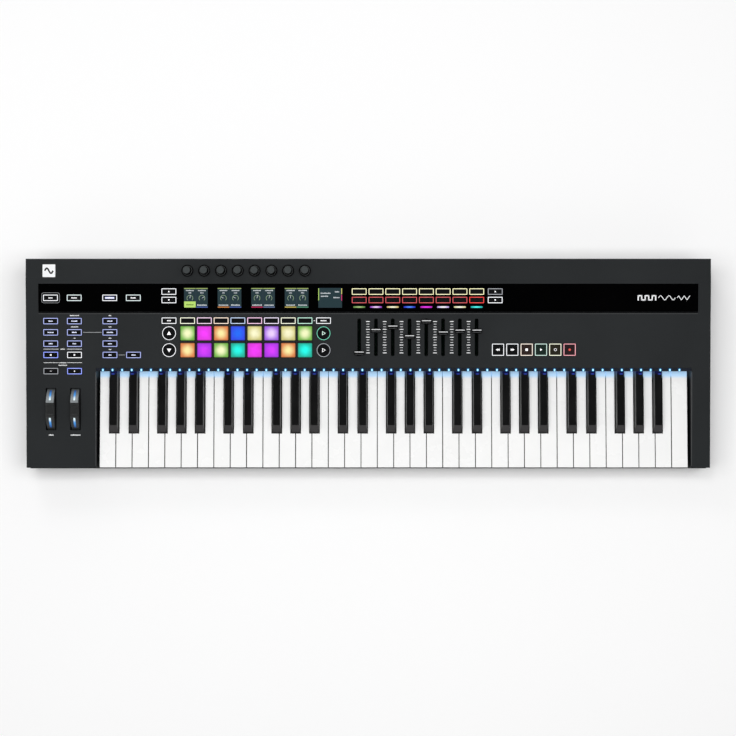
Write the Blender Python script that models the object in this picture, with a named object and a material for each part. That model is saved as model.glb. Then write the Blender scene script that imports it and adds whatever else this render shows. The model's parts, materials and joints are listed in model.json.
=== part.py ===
"""A 61-key controller synthesizer, as the separate pieces that it comes apart into on a bench.

Metres. +X is the player's right, +Y is away from the player and +Z is up. The origin is on the table, under
the middle of the instrument. The top has three planes, from front to rear: the main panel, the glossy band
with the displays, and the rear shelf with the knobs.
"""

import math

import bmesh
import bpy
from mathutils import Matrix, Vector

# Overall size
WIDTH = 0.981
DEPTH = 0.300
HEIGHT = 0.100
GAP = 0.0003  # between pieces that touch
SKIN = 0.003  # wall of the plastic case

# Case heights, and the places where the top changes slope
FOOT_HEIGHT = 0.005
SEAM_Z = 0.034
SEAM_GROOVE = 0.0012
STEP_IN = 0.0006  # the top case stands this far inside the bottom case's sides
PANEL_FRONT_Z = 0.062
BAND_FRONT_Y = 0.0733
BAND_REAR_Y = 0.1141
MAIN_SLOPE = math.radians(4.5)
BAND_SLOPE = math.radians(6.0)
REAR_SLOPE = math.radians(1.5)
CASE_FRONT_Y = -DEPTH / 2 + 0.001
CASE_REAR_Y = DEPTH / 2 - STEP_IN

# Keyboard
OCTAVES = 5
WHITE_PITCH = 0.0235
WHITE_GAP = 0.001
WHITES_PER_OCTAVE = 7
OCTAVE_WIDTH = WHITES_PER_OCTAVE * WHITE_PITCH
KEYS_LEFT_X = -0.3865
KEYS_RIGHT_X = KEYS_LEFT_X + OCTAVES * OCTAVE_WIDTH + WHITE_PITCH
KEY_FRONT_Y = -0.1485
KEY_REAR_Y = 0.029
WHITE_TOP_Z = 0.057
WHITE_BOTTOM_Z = 0.040
KEY_WALL = 0.002
KEY_CEILING = 0.0035
BLACK_FRONT_Y = -0.0985
BLACK_SLOPE_LENGTH = 0.0105
BLACK_TOP_Z = 0.0674
BLACK_TAIL_Z = 0.055
BLACK_BOTTOM_Z = 0.045
BLACK_HALF = 0.00665
BLACK_TOP_HALF = 0.0051
BLACK_CLEARANCE = 0.0009
PAIR_SPREAD = 0.01415  # C sharp and D sharp stand this far each side of the middle of their group
TRIO_SPREAD = 0.0271  # F sharp and A sharp stand this far each side of G sharp
HINGE_Y = 0.036
BAR_HALF_DEPTH = 0.004
BAR_THICKNESS = 0.0025
BAR_BOTTOMS = {"c_e_g_b": 0.038, "d_f_a": 0.042, "black": 0.046}
WINDOW_SIDE_GAP = 0.0035
WINDOW_LEFT_X = KEYS_LEFT_X - WINDOW_SIDE_GAP
WINDOW_RIGHT_X = KEYS_RIGHT_X + WINDOW_SIDE_GAP
PANEL_EDGE_Y = -0.0065

# Controls
COLUMN_PITCH = 0.0240
COLUMNS = 8
PAD_COLUMN_X = -0.2585
FADER_COLUMN_X = -0.0130
SIDE_COLUMN = 0.0265  # from the outer pad columns to the round buttons
BUTTON = (0.0212, 0.0092)
ROUND_RADIUS = 0.0099
PAD = 0.0212
PAD_ROWS_Y = (0.0432, 0.0191)
PAD_BUTTON_Y = 0.0612
TRANSPORT_X = 0.1856
TRANSPORT_PITCH = 0.0205
TRANSPORT_Y = 0.0198
TRANSPORT = 0.0174
FUNCTION_COLUMNS_X = (-0.4543, -0.4204, -0.3696, -0.3359)
FUNCTION_ROWS_Y = (0.0606, 0.0445, 0.0284, 0.0123, -0.0108)
FUNCTION_ROWS_IN_COLUMN = ((0, 1, 2, 3, 4), (0, 1, 2, 3, 4), (0, 1, 2, 3), (3,))
BAND_MIDDLE_Y = (BAND_FRONT_Y + BAND_REAR_Y) / 2
BAND_ROWS_Y = (BAND_MIDDLE_Y + 0.0089, BAND_MIDDLE_Y - 0.0031)
LENS_HALF_WIDTH = 0.4720
LENS_DEPTH = 0.0012
DISPLAY = (0.0343, 0.0284)
DISPLAYS = 5
DISPLAY_X = PAD_COLUMN_X + COLUMN_PITCH / 2
DISPLAY_PITCH = 2 * COLUMN_PITCH
KNOB_Y = 0.1323
KNOB_RADIUS = 0.0086
SHAFT_RADIUS = 0.003
FADER_MIN_Y = 0.0152
FADER_TRAVEL = 0.0445
FADER_SETTINGS = (0.0, 0.72, 0.83, 0.52, 1.0, 0.64, 0.70, 0.70)
FADER_SLOT = (0.0046, 0.0530)
FADER_CAP = (0.0140, 0.0066, 0.0085)
WHEELS_X = (-0.4545, -0.4196)
WHEEL_Y = -0.0652
WHEEL_RADIUS = 0.035
WHEEL_PROUD = 0.0125
WHEEL_WIDTH = 0.0127
WHEEL_SLOT = (0.0146, 0.0600)
HOLE_CLEARANCE = 0.0004
BUTTON_PROUD = 0.0012
PAD_PROUD = 0.0016
MAT_TOP = -SKIN - GAP
MAT_THICKNESS = 0.0012
BAND_MAT_TOP = -SKIN - LENS_DEPTH - GAP
BOARD_TOP = -0.0062
BOARD_THICKNESS = 0.0016

# Rear sockets
PLATE_X = (-0.250, 0.215)
PLATE_Z = (0.040, 0.066)
PLATE_Y = (0.1455, 0.1470)
SOCKET_Z = 0.053
POWER_X = -0.232
DC_X = -0.205
USB_X = -0.176
MIDI_X = (-0.140, -0.114, -0.088)
MINI_JACK_X = -0.058
MINI_JACK_PITCH = 0.016
MINI_JACKS = 7
JACK_X = (0.075, 0.105, 0.135)


class Plane:
    """One of the planes of the top: its front edge's place and its slope."""

    def __init__(self, front_y, front_z, slope):
        self.front_y, self.front_z, self.slope = front_y, front_z, slope

    def z(self, y):
        return self.front_z + (y - self.front_y) * math.tan(self.slope)

    def along(self, y):
        """Distance from the front edge up the slope, for a plan position y."""
        return (y - self.front_y) / math.cos(self.slope)

    def matrix(self):
        return Matrix.Translation((0, self.front_y, self.front_z)) @ Matrix.Rotation(self.slope, 4, "X")


MAIN = Plane(CASE_FRONT_Y, PANEL_FRONT_Z, MAIN_SLOPE)
BAND = Plane(BAND_FRONT_Y, MAIN.z(BAND_FRONT_Y), BAND_SLOPE)
REAR = Plane(BAND_REAR_Y, BAND.z(BAND_REAR_Y), REAR_SLOPE)


def top_z(y):
    """Height of the case's top at a plan position y."""
    plane = MAIN if y <= BAND_FRONT_Y else BAND if y <= BAND_REAR_Y else REAR
    return plane.z(y)


# ---------------------------------------------------------------- mesh helpers


def clear_scene():
    for obj in list(bpy.data.objects):
        bpy.data.objects.remove(obj)


def material(name, colour, roughness, metallic=0.0):
    found = bpy.data.materials.get(name)
    if found:
        return found
    made = bpy.data.materials.new(name)
    made.use_nodes = True
    shader = made.node_tree.nodes["Principled BSDF"]
    shader.inputs["Base Color"].default_value = (*colour, 1)
    shader.inputs["Roughness"].default_value = roughness
    shader.inputs["Metallic"].default_value = metallic
    return made


def case_plastic():
    return material("case_plastic", (0.030, 0.032, 0.034), 0.5)


def gloss_black():
    return material("gloss_black", (0.003, 0.003, 0.003), 0.08)


def silicone():
    return material("silicone", (0.55, 0.56, 0.58), 0.6)


def steel():
    return material("steel", (0.55, 0.55, 0.56), 0.35, 1.0)


def circuit_board():
    return material("circuit_board", (0.01, 0.10, 0.05), 0.45)


def soft_black():
    return material("soft_black", (0.015, 0.016, 0.016), 0.55)


def make(name, bm, stuff, matrix=None):
    bmesh.ops.recalc_face_normals(bm, faces=bm.faces[:])
    mesh = bpy.data.meshes.new(name)
    bm.to_mesh(mesh)
    bm.free()
    obj = bpy.data.objects.new(name, mesh)
    bpy.context.scene.collection.objects.link(obj)
    if matrix is not None:
        obj.matrix_world = matrix
    if stuff is not None:
        mesh.materials.append(stuff)
    return obj


def add_loft(bm, rings):
    """One closed body: each ring of points joined to the next, and the two ends filled."""
    loops = [[bm.verts.new(point) for point in ring] for ring in rings]
    for low, high in zip(loops, loops[1:]):
        for i in range(len(low)):
            j = (i + 1) % len(low)
            bm.faces.new((low[i], low[j], high[j], high[i]))
    bm.faces.new(loops[0][::-1])
    bm.faces.new(loops[-1])


def add_box(bm, x, y, z):
    corners = ((x[0], y[0]), (x[1], y[0]), (x[1], y[1]), (x[0], y[1]))
    add_loft(bm, [[(cx, cy, level) for cx, cy in corners] for level in z])


def add_plan(bm, outline, z):
    """A plan outline, extruded between two heights."""
    add_loft(bm, [[(x, y, level) for x, y in outline] for level in z])


def add_profile(bm, outline, x):
    """A side profile of (y, z) points, extruded across the instrument."""
    add_loft(bm, [[(across, y, z) for y, z in outline] for across in x])


def circle(cx, cy, radius, z, count=16):
    turns = [2 * math.pi * (i + 0.5) / count for i in range(count)]
    return [(cx + radius * math.cos(a), cy + radius * math.sin(a), z) for a in turns]


def rectangle(cx, cy, width, depth, z):
    w, d = width / 2, depth / 2
    return [(cx - w, cy - d, z), (cx + w, cy - d, z), (cx + w, cy + d, z), (cx - w, cy + d, z)]


def boolean(obj, other, operation, name):
    """Joins or cuts obj by other, which is kept as a hidden guide."""
    other.hide_render = True
    other.display_type = "WIRE"
    step = obj.modifiers.new(name, "BOOLEAN")
    step.operation = operation
    step.object = other
    step.solver = "EXACT"


def guide(name, fill, matrix=None):
    """A hidden helper whose shape fill(bm) adds to."""
    bm = bmesh.new()
    fill(bm)
    return make(name, bm, None, matrix)


# ---------------------------------------------------------------- casing


def case_hollow(side):
    """The space inside the top case: a plan with two arms that reach into the cheeks, under the skin's planes."""
    front, rear, arm_y, key_y = CASE_FRONT_Y + SKIN, CASE_REAR_Y - SKIN, -0.003, -0.012
    left, right = WINDOW_LEFT_X, WINDOW_RIGHT_X
    plan = [
        (-side, front),
        (left - SKIN, front),
        (left - SKIN, arm_y),
        (left, arm_y),
        (left, key_y),
        (right, key_y),
        (right, arm_y),
        (right + SKIN, arm_y),
        (right + SKIN, front),
        (side, front),
        (side, rear),
        (-side, rear),
    ]
    hollow = guide("cut_hollow", lambda bm: add_plan(bm, plan, (SEAM_Z - 0.015, 0.110)))
    y0, y1, low = CASE_FRONT_Y - 0.010, CASE_REAR_Y + 0.010, SEAM_Z - 0.020
    drop = SKIN / math.cos(MAIN_SLOPE)
    roof = [(y, top_z(y) - drop) for y in (y0, BAND_FRONT_Y, BAND_REAR_Y, y1)]
    under = guide("limit_hollow", lambda bm: add_profile(bm, [(y0, low), *roof, (y1, low)], (-0.6, 0.6)))
    boolean(hollow, under, "INTERSECT", "under the skin")
    return hollow


def button_places():
    """Plan centres of every rectangular button in the main panel."""
    return [*function_buttons(), *pad_section_buttons()]


def function_buttons():
    return [
        (x, FUNCTION_ROWS_Y[row])
        for x, rows in zip(FUNCTION_COLUMNS_X, FUNCTION_ROWS_IN_COLUMN)
        for row in rows
    ]


def pad_columns():
    return [PAD_COLUMN_X + i * COLUMN_PITCH for i in range(COLUMNS)]


def fader_columns():
    return [FADER_COLUMN_X + i * COLUMN_PITCH for i in range(COLUMNS)]


def side_columns():
    return (PAD_COLUMN_X - SIDE_COLUMN, PAD_COLUMN_X + 7 * COLUMN_PITCH + SIDE_COLUMN)


def pad_section_buttons():
    left, right = side_columns()
    return [(x, PAD_BUTTON_Y) for x in (left, *pad_columns(), right)]


def round_buttons():
    return [(x, y) for x in side_columns() for y in PAD_ROWS_Y]


def transport_buttons():
    return [(TRANSPORT_X + i * TRANSPORT_PITCH, TRANSPORT_Y) for i in range(6)]


def band_left_buttons():
    """Four buttons in line, and the page pair beside the first display."""
    row = [(x, BAND_MIDDLE_Y) for x in FUNCTION_COLUMNS_X]
    return row + [(side_columns()[0], y) for y in BAND_ROWS_Y]


def band_right_row(y):
    beyond = FADER_COLUMN_X + COLUMNS * COLUMN_PITCH + 0.0024
    return [(x, y) for x in (*fader_columns(), beyond)]


def add_holes(bm, plane, places, size, depth, clearance=HOLE_CLEARANCE):
    for x, y in places:
        w, d = size[0] + 2 * clearance, size[1] + 2 * clearance
        add_loft(bm, [rectangle(x, plane.along(y), w, d, level) for level in depth])


def cut_main_panel(case):
    through = (-0.006, 0.003)

    def fill(bm):
        add_holes(bm, MAIN, button_places(), BUTTON, through)
        add_holes(bm, MAIN, transport_buttons(), (TRANSPORT, TRANSPORT), through)
        pads = [(x, y) for y in PAD_ROWS_Y for x in pad_columns()]
        add_holes(bm, MAIN, pads, (PAD, PAD), through)
        middle = FADER_MIN_Y + FADER_TRAVEL / 2
        add_holes(bm, MAIN, [(x, middle) for x in fader_columns()], FADER_SLOT, through, 0)
        add_holes(bm, MAIN, [(x, WHEEL_Y) for x in WHEELS_X], WHEEL_SLOT, through, 0)
        for x, y in round_buttons():
            radius = ROUND_RADIUS + HOLE_CLEARANCE
            add_loft(bm, [circle(x, MAIN.along(y), radius, level) for level in through])

    boolean(case, guide("cut_main_panel", fill, MAIN.matrix()), "DIFFERENCE", "panel holes")


def cut_band(case):
    """The lens lies in a shallow recess, with windows and button holes through its floor."""
    middle = BAND.along(BAND_MIDDLE_Y)
    length = BAND.along(BAND_REAR_Y) - 0.0004

    def recess(bm):
        pocket = (-LENS_DEPTH - GAP, 0.003)
        add_loft(bm, [rectangle(0, middle, 2 * LENS_HALF_WIDTH, length, level) for level in pocket])

    def windows(bm):
        through = (-0.009, 0.001)
        add_holes(bm, BAND, display_places(), DISPLAY, through)
        add_holes(bm, BAND, band_left_buttons(), BUTTON, through)
        for y in BAND_ROWS_Y:
            add_holes(bm, BAND, band_right_row(y), BUTTON, through)

    def thicken(bm):
        levels = (-SKIN - LENS_DEPTH, -LENS_DEPTH)
        add_loft(bm, [rectangle(0, middle, 2 * LENS_HALF_WIDTH + 0.01, length, level) for level in levels])

    boolean(case, guide("band_floor", thicken, BAND.matrix()), "UNION", "band floor")
    boolean(case, guide("cut_band_recess", recess, BAND.matrix()), "DIFFERENCE", "band recess")
    boolean(case, guide("cut_band_windows", windows, BAND.matrix()), "DIFFERENCE", "band windows")


def cut_rear_shelf(case):
    def fill(bm):
        for x in pad_columns():
            place = REAR.along(KNOB_Y)
            add_loft(bm, [circle(x, place, SHAFT_RADIUS + GAP, level) for level in (-0.006, 0.003)])

    boolean(case, guide("cut_knob_holes", fill, REAR.matrix()), "DIFFERENCE", "knob holes")


def top_case():
    """One moulding: the top, the rear wall and the two end cheeks, open below and in front of the keys."""
    half = WIDTH / 2 - STEP_IN
    outer = [
        (CASE_FRONT_Y, SEAM_Z),
        (CASE_FRONT_Y, top_z(CASE_FRONT_Y)),
        (BAND_FRONT_Y, top_z(BAND_FRONT_Y)),
        (BAND_REAR_Y, top_z(BAND_REAR_Y)),
        (CASE_REAR_Y, top_z(CASE_REAR_Y)),
        (CASE_REAR_Y, SEAM_Z),
    ]
    bm = bmesh.new()
    add_profile(bm, outer, (-half, half))
    case = make("top_case", bm, case_plastic())
    boolean(case, case_hollow(half - SKIN), "DIFFERENCE", "hollow")

    def window(bm):
        add_box(bm, (WINDOW_LEFT_X, WINDOW_RIGHT_X), (-0.16, PANEL_EDGE_Y), (0.0, 0.1))

    boolean(case, guide("cut_key_window", window), "DIFFERENCE", "key window")
    cut_main_panel(case)
    cut_band(case)
    cut_rear_shelf(case)

    def sockets(bm):
        x, z = PLATE_X, PLATE_Z
        add_box(bm, (x[0] - GAP, x[1] + GAP), (0.14, 0.16), (z[0] - GAP, z[1] + GAP))

    boolean(case, guide("cut_socket_opening", sockets), "DIFFERENCE", "socket opening")
    return case


def bottom_case():
    """A tray: floor, three full walls and a low front rail under the keys."""
    floor, wall = 0.0025, 0.0028
    top = SEAM_Z - SEAM_GROOVE
    half, deep, chamfer = WIDTH / 2, DEPTH / 2, 0.004

    def outline(inset, z):
        return rectangle(0, 0, 2 * (half - inset), 2 * (deep - inset), z)

    bm = bmesh.new()
    add_loft(bm, [outline(chamfer, FOOT_HEIGHT), outline(0, FOOT_HEIGHT + chamfer), outline(0, top)])
    tray = make("bottom_case", bm, case_plastic())
    hollow = guide(
        "cut_tray_hollow",
        lambda bm: add_loft(bm, [outline(chamfer + wall, FOOT_HEIGHT + floor), outline(wall, 0.012), outline(wall, 0.05)]),
    )
    boolean(tray, hollow, "DIFFERENCE", "tray hollow")
    rail = guide(
        "cut_front_rail",
        lambda bm: add_box(bm, (WINDOW_LEFT_X, WINDOW_RIGHT_X), (-0.16, -0.12), (0.027, 0.05)),
    )
    boolean(tray, rail, "DIFFERENCE", "front rail")
    return tray


def feet():
    across, along, radius = 0.440, 0.122, 0.012
    for name, sx, sy in (
        ("foot_front_left", -1, -1),
        ("foot_front_right", 1, -1),
        ("foot_rear_left", -1, 1),
        ("foot_rear_right", 1, 1),
    ):
        bm = bmesh.new()
        x, y, top = sx * across, sy * along, FOOT_HEIGHT - GAP
        rings = ((radius - 0.0008, 0), (radius, 0.001), (radius, top))
        add_loft(bm, [circle(x, y, r, z) for r, z in rings])
        make(name, bm, soft_black())


# ---------------------------------------------------------------- keyboard


def black_centres():
    """Middles of the five black keys, from the octave's left edge."""
    pair, trio = 1.5 * WHITE_PITCH, 5 * WHITE_PITCH
    return (pair - PAIR_SPREAD, pair + PAIR_SPREAD, trio - TRIO_SPREAD, trio, trio + TRIO_SPREAD)


def white_key_plan(index, left_x, last=False):
    """Outline of one white key in its octave, cut back at the sides where a black key passes."""
    c_sharp, d_sharp, f_sharp, g_sharp, a_sharp = black_centres()
    flanks = (
        (None, c_sharp),
        (c_sharp, d_sharp),
        (d_sharp, None),
        (None, f_sharp),
        (f_sharp, g_sharp),
        (g_sharp, a_sharp),
        (a_sharp, None),
    )
    on_left, on_right = (None, None) if last else flanks[index]
    head = (left_x + index * WHITE_PITCH + WHITE_GAP / 2, left_x + (index + 1) * WHITE_PITCH - WHITE_GAP / 2)
    reach = BLACK_HALF + BLACK_CLEARANCE
    notch_y = BLACK_FRONT_Y - 0.0014
    outline = [(head[0], KEY_FRONT_Y), (head[1], KEY_FRONT_Y)]
    if on_right is None:
        outline.append((head[1], KEY_REAR_Y))
    else:
        tail = left_x + on_right - reach
        outline += [(head[1], notch_y), (tail, notch_y), (tail, KEY_REAR_Y)]
    if on_left is None:
        outline.append((head[0], KEY_REAR_Y))
    else:
        tail = left_x + on_left + reach
        outline += [(tail, KEY_REAR_Y), (tail, notch_y), (head[0], notch_y)]
    return outline


def add_white_key(bm, outline):
    """A channel, open below: the outline extruded, then its underside inset and pushed up."""
    add_plan(bm, outline, (WHITE_BOTTOM_Z, WHITE_TOP_Z))
    bm.faces.ensure_lookup_table()
    under = [f for f in bm.faces if all(abs(v.co.z - WHITE_BOTTOM_Z) < 1e-6 for v in f.verts)][-1]
    bmesh.ops.recalc_face_normals(bm, faces=bm.faces[:])
    bmesh.ops.inset_region(bm, faces=[under], thickness=KEY_WALL, use_even_offset=True)
    top = bmesh.ops.extrude_face_region(bm, geom=[under])
    bmesh.ops.delete(bm, geom=[under], context="FACES_ONLY")
    rise = WHITE_TOP_Z - KEY_CEILING - WHITE_BOTTOM_Z
    bmesh.ops.translate(bm, vec=(0, 0, rise), verts=[v for v in top["geom"] if isinstance(v, bmesh.types.BMVert)])


def add_black_key(bm, centre):
    """A tapered upper part with a sloping front, and a lower tail under the panel."""
    nose_y, crest_y, edge_y = BLACK_FRONT_Y, BLACK_FRONT_Y + BLACK_SLOPE_LENGTH, -0.004
    w, t = BLACK_HALF, BLACK_TOP_HALF
    points = {
        "nose_low": (w, nose_y, BLACK_BOTTOM_Z),
        "nose_mid": (w, nose_y, WHITE_TOP_Z),
        "crest": (t, crest_y, BLACK_TOP_Z),
        "edge_top": (t, edge_y, BLACK_TOP_Z),
        "edge_mid": (w, edge_y, BLACK_TAIL_Z),
        "tail_top": (w, KEY_REAR_Y, BLACK_TAIL_Z),
        "tail_low": (w, KEY_REAR_Y, BLACK_BOTTOM_Z),
        "edge_low": (w, edge_y, BLACK_BOTTOM_Z),
    }
    sides = [
        {name: bm.verts.new((centre + s * x, y, z)) for name, (x, y, z) in points.items()} for s in (-1, 1)
    ]
    left, right = sides
    order = ("nose_low", "nose_mid", "crest", "edge_top", "edge_mid", "tail_top", "tail_low", "edge_low")
    for a, b in zip(order, order[1:] + order[:1]):
        bm.faces.new((left[a], left[b], right[b], right[a]))
    for side in sides:
        bm.faces.new([side[n] for n in ("nose_low", "nose_mid", "edge_mid", "edge_low")])
        bm.faces.new([side[n] for n in ("nose_mid", "crest", "edge_top", "edge_mid")])
        bm.faces.new([side[n] for n in ("edge_low", "edge_mid", "tail_top", "tail_low")])


def add_hinge_bar(bm, bar, tails):
    """The bar that joins a comb of keys at the hinge, with a tongue under each key's tail."""
    low = BAR_BOTTOMS[bar]
    y0, y1, reach = HINGE_Y - BAR_HALF_DEPTH, HINGE_Y + BAR_HALF_DEPTH, 0.020
    outline = [(tails[-1][1], y1), (tails[0][0], y1)]
    for x0, x1 in tails:
        outline += [(x0, y0), (x0, reach), (x1, reach), (x1, y0)]
    tidy = [outline[0], outline[1], *outline[3:-1]]
    add_plan(bm, tidy, (low, low + BAR_THICKNESS))


def key_comb(name, bar, fill_keys, tails, stuff):
    bm = bmesh.new()
    fill_keys(bm)
    comb = make(name, bm, stuff)
    joined = guide("join_" + name, lambda bar_bm: add_hinge_bar(bar_bm, bar, tails))
    boolean(comb, joined, "UNION", "hinge bar")


def tail_of(outline):
    """Left and right of a white key's tail, drawn in a little so that its tongue ends inside its walls."""
    rear = [x for x, y in outline if y == KEY_REAR_Y]
    return (min(rear) + 0.0006, max(rear) - 0.0006)


def white_comb(name, indices, bar, left_x, last=False):
    outlines = [white_key_plan(i, left_x, last) for i in indices]

    def fill(bm):
        for outline in outlines:
            add_white_key(bm, outline)

    key_comb(name, bar, fill, [tail_of(o) for o in outlines], material("white_key", (0.86, 0.86, 0.86), 0.3))


def black_comb(name, left_x):
    centres = [left_x + c for c in black_centres()]

    def fill(bm):
        for centre in centres:
            add_black_key(bm, centre)

    inset = BLACK_HALF - 0.0006
    tails = [(c - inset, c + inset) for c in centres]
    key_comb(name, "black", fill, tails, material("black_key", (0.006, 0.006, 0.006), 0.3))


def keyboard():
    for octave in range(OCTAVES):
        left_x = KEYS_LEFT_X + octave * OCTAVE_WIDTH
        prefix = f"octave_{octave + 1}_"
        white_comb(prefix + "c_e_g_b_keys", (0, 2, 4, 6), "c_e_g_b", left_x)
        white_comb(prefix + "d_f_a_keys", (1, 3, 5), "d_f_a", left_x)
        black_comb(prefix + "black_keys", left_x)
    white_comb("top_c_key", (0,), "c_e_g_b", KEYS_LEFT_X + OCTAVES * OCTAVE_WIDTH, last=True)


def keybed_chassis():
    """Folded steel: a floor with a front lip, a rear wall, and the shelf that carries the key combs."""
    floor, sheet = 0.012, 0.002
    front, rear = -0.142, 0.046
    shelf_top = BAR_BOTTOMS["c_e_g_b"] - 0.0005
    profile = [
        (front, floor),
        (rear, floor),
        (rear, 0.052),
        (rear - sheet, 0.052),
        (rear - sheet, shelf_top),
        (0.030, shelf_top),
        (0.030, shelf_top - sheet),
        (rear - sheet, shelf_top - sheet),
        (rear - sheet, floor + sheet),
        (front + sheet, floor + sheet),
        (front + sheet, 0.025),
        (front, 0.025),
    ]
    bm = bmesh.new()
    add_profile(bm, profile, (KEYS_LEFT_X - 0.0015, KEYS_RIGHT_X + 0.0015))
    make("keybed_chassis", bm, steel())


def key_guide_rail():
    """A rail with a guide post inside the head of every white key."""
    base, top, post = 0.0143, 0.043, 0.0160
    whites = OCTAVES * WHITES_PER_OCTAVE + 1
    outline = [(KEYS_LEFT_X, base), (KEYS_RIGHT_X, base), (KEYS_RIGHT_X, base + 0.003)]
    for i in reversed(range(whites)):
        middle = KEYS_LEFT_X + (i + 0.5) * WHITE_PITCH
        for x, z in ((post, base + 0.003), (post, top), (-post, top), (-post, base + 0.003)):
            outline.append((middle + x / 2, z))
    outline.append((KEYS_LEFT_X, base + 0.003))
    bm = bmesh.new()
    add_loft(bm, [[(x, y, z) for x, z in outline] for y in (-0.126, -0.118)])
    make("key_guide_rail", bm, material("guide_plastic", (0.7, 0.7, 0.66), 0.5))


def key_contact_board():
    """Circuit board under the keys, with its ridge of silicone contacts."""
    profile = [
        (-0.062, 0.0220),
        (-0.018, 0.0220),
        (-0.018, 0.0236),
        (-0.030, 0.0236),
        (-0.033, 0.0280),
        (-0.047, 0.0280),
        (-0.050, 0.0236),
        (-0.062, 0.0236),
    ]
    bm = bmesh.new()
    add_profile(bm, profile, (KEYS_LEFT_X + 0.002, KEYS_RIGHT_X - 0.002))
    make("key_contact_board", bm, circuit_board())


def key_light_bar():
    """Light guide along the panel's front edge: its lip fills the edge, and its foot goes under the skin."""
    edge, foot, rear = -0.011, 0.0012, 0.002
    front_z, rear_z = top_z(edge), top_z(rear)
    under = SKIN / math.cos(MAIN_SLOPE) + GAP
    lip_rear = PANEL_EDGE_Y - GAP
    profile = [
        (edge, front_z - under - foot),
        (rear, rear_z - under - foot),
        (rear, rear_z - under),
        (lip_rear, top_z(lip_rear) - under),
        (lip_rear, top_z(lip_rear)),
        (edge, front_z),
    ]
    bm = bmesh.new()
    add_profile(bm, profile, (WINDOW_LEFT_X + GAP, WINDOW_RIGHT_X - GAP))
    make("key_light_bar", bm, case_plastic())


# ---------------------------------------------------------------- panel controls


def add_blocks(bm, plane, places, size, bottom, top, draft=0.0004):
    """A block with a chamfered top for each button or pad."""
    for x, y in places:
        v, chamfer = plane.along(y), 0.0005
        w, d = size
        rings = (
            rectangle(x, v, w, d, bottom),
            rectangle(x, v, w, d, top - chamfer),
            rectangle(x, v, w - 2 * draft, d - 2 * draft, top),
        )
        add_loft(bm, rings)


def mat(name, plane, outline, fill_buttons, mat_top, stuff):
    """A silicone sheet under the skin, with the buttons that stand up through the panel's holes."""
    bm = bmesh.new()
    add_plan(bm, [(x, plane.along(y)) for x, y in outline], (mat_top - MAT_THICKNESS, mat_top))
    sheet = make(name, bm, stuff, plane.matrix())
    boolean(sheet, guide("join_" + name, fill_buttons, plane.matrix()), "UNION", "buttons")


def plan_box(x0, x1, y0, y1):
    return [(x0, y0), (x1, y0), (x1, y1), (x0, y1)]


def button_mat(name, plane, outline, places, size, mat_top, proud, stuff, rounds=()):
    root = mat_top - MAT_THICKNESS / 2

    def fill(bm):
        add_blocks(bm, plane, places, size, root, proud)
        for x, y in rounds:
            v = plane.along(y)
            rings = ((ROUND_RADIUS, root), (ROUND_RADIUS, proud - 0.0005), (ROUND_RADIUS - 0.0004, proud))
            add_loft(bm, [circle(x, v, r, level) for r, level in rings])

    mat(name, plane, outline, fill, mat_top, stuff)


def main_panel_mats():
    left, right = side_columns()
    margin = 0.0115
    columns, rows = FUNCTION_COLUMNS_X, FUNCTION_ROWS_Y
    cheek_right = WINDOW_LEFT_X - SKIN - 0.002
    step_y = 0.0035
    outline = [
        (columns[0] - margin, rows[4] - 0.006),
        (cheek_right, rows[4] - 0.006),
        (cheek_right, step_y),
        (columns[3] + margin, step_y),
        (columns[3] + margin, rows[0] + 0.0058),
        (columns[0] - margin, rows[0] + 0.0058),
    ]
    button_mat("function_buttons", MAIN, outline, function_buttons(), BUTTON, MAT_TOP, BUTTON_PROUD, silicone())

    bar_y, leg_y = PAD_BUTTON_Y - 0.0055, PAD_ROWS_Y[1] - margin
    outline = [
        (left - margin, leg_y),
        (left + margin, leg_y),
        (left + margin, bar_y),
        (right - margin, bar_y),
        (right - margin, leg_y),
        (right + margin, leg_y),
        (right + margin, PAD_BUTTON_Y + 0.0055),
        (left - margin, PAD_BUTTON_Y + 0.0055),
    ]
    button_mat(
        "pad_section_buttons",
        MAIN,
        outline,
        pad_section_buttons(),
        BUTTON,
        MAT_TOP,
        BUTTON_PROUD,
        silicone(),
        rounds=round_buttons(),
    )

    for name, y in zip(("upper_pad_row", "lower_pad_row"), PAD_ROWS_Y):
        first, last = pad_columns()[0], pad_columns()[-1]
        outline = plan_box(first - 0.0118, last + 0.0118, y - 0.0117, y + 0.0117)
        places = [(x, y) for x in pad_columns()]
        button_mat(name, MAIN, outline, places, (PAD, PAD), MAT_TOP, PAD_PROUD, silicone())

    places = transport_buttons()
    outline = plan_box(places[0][0] - 0.0105, places[-1][0] + 0.0105, TRANSPORT_Y - 0.0105, TRANSPORT_Y + 0.0105)
    size = (TRANSPORT, TRANSPORT)
    button_mat("transport_buttons", MAIN, outline, places, size, MAT_TOP, BUTTON_PROUD, silicone())


def band_mats():
    margin = 0.0115
    columns, side = FUNCTION_COLUMNS_X, side_columns()[0]
    outline = plan_box(columns[0] - margin, side + margin, BAND_ROWS_Y[1] - 0.0062, BAND_ROWS_Y[0] + 0.0062)
    places = band_left_buttons()
    button_mat("band_buttons", BAND, outline, places, BUTTON, BAND_MAT_TOP, BUTTON_PROUD, silicone())
    for name, y in zip(("upper_fader_buttons", "lower_fader_buttons"), BAND_ROWS_Y):
        places = band_right_row(y)
        outline = plan_box(places[0][0] - margin, places[-1][0] + margin, y - 0.0056, y + 0.0056)
        button_mat(name, BAND, outline, places, BUTTON, BAND_MAT_TOP, BUTTON_PROUD, silicone())


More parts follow.
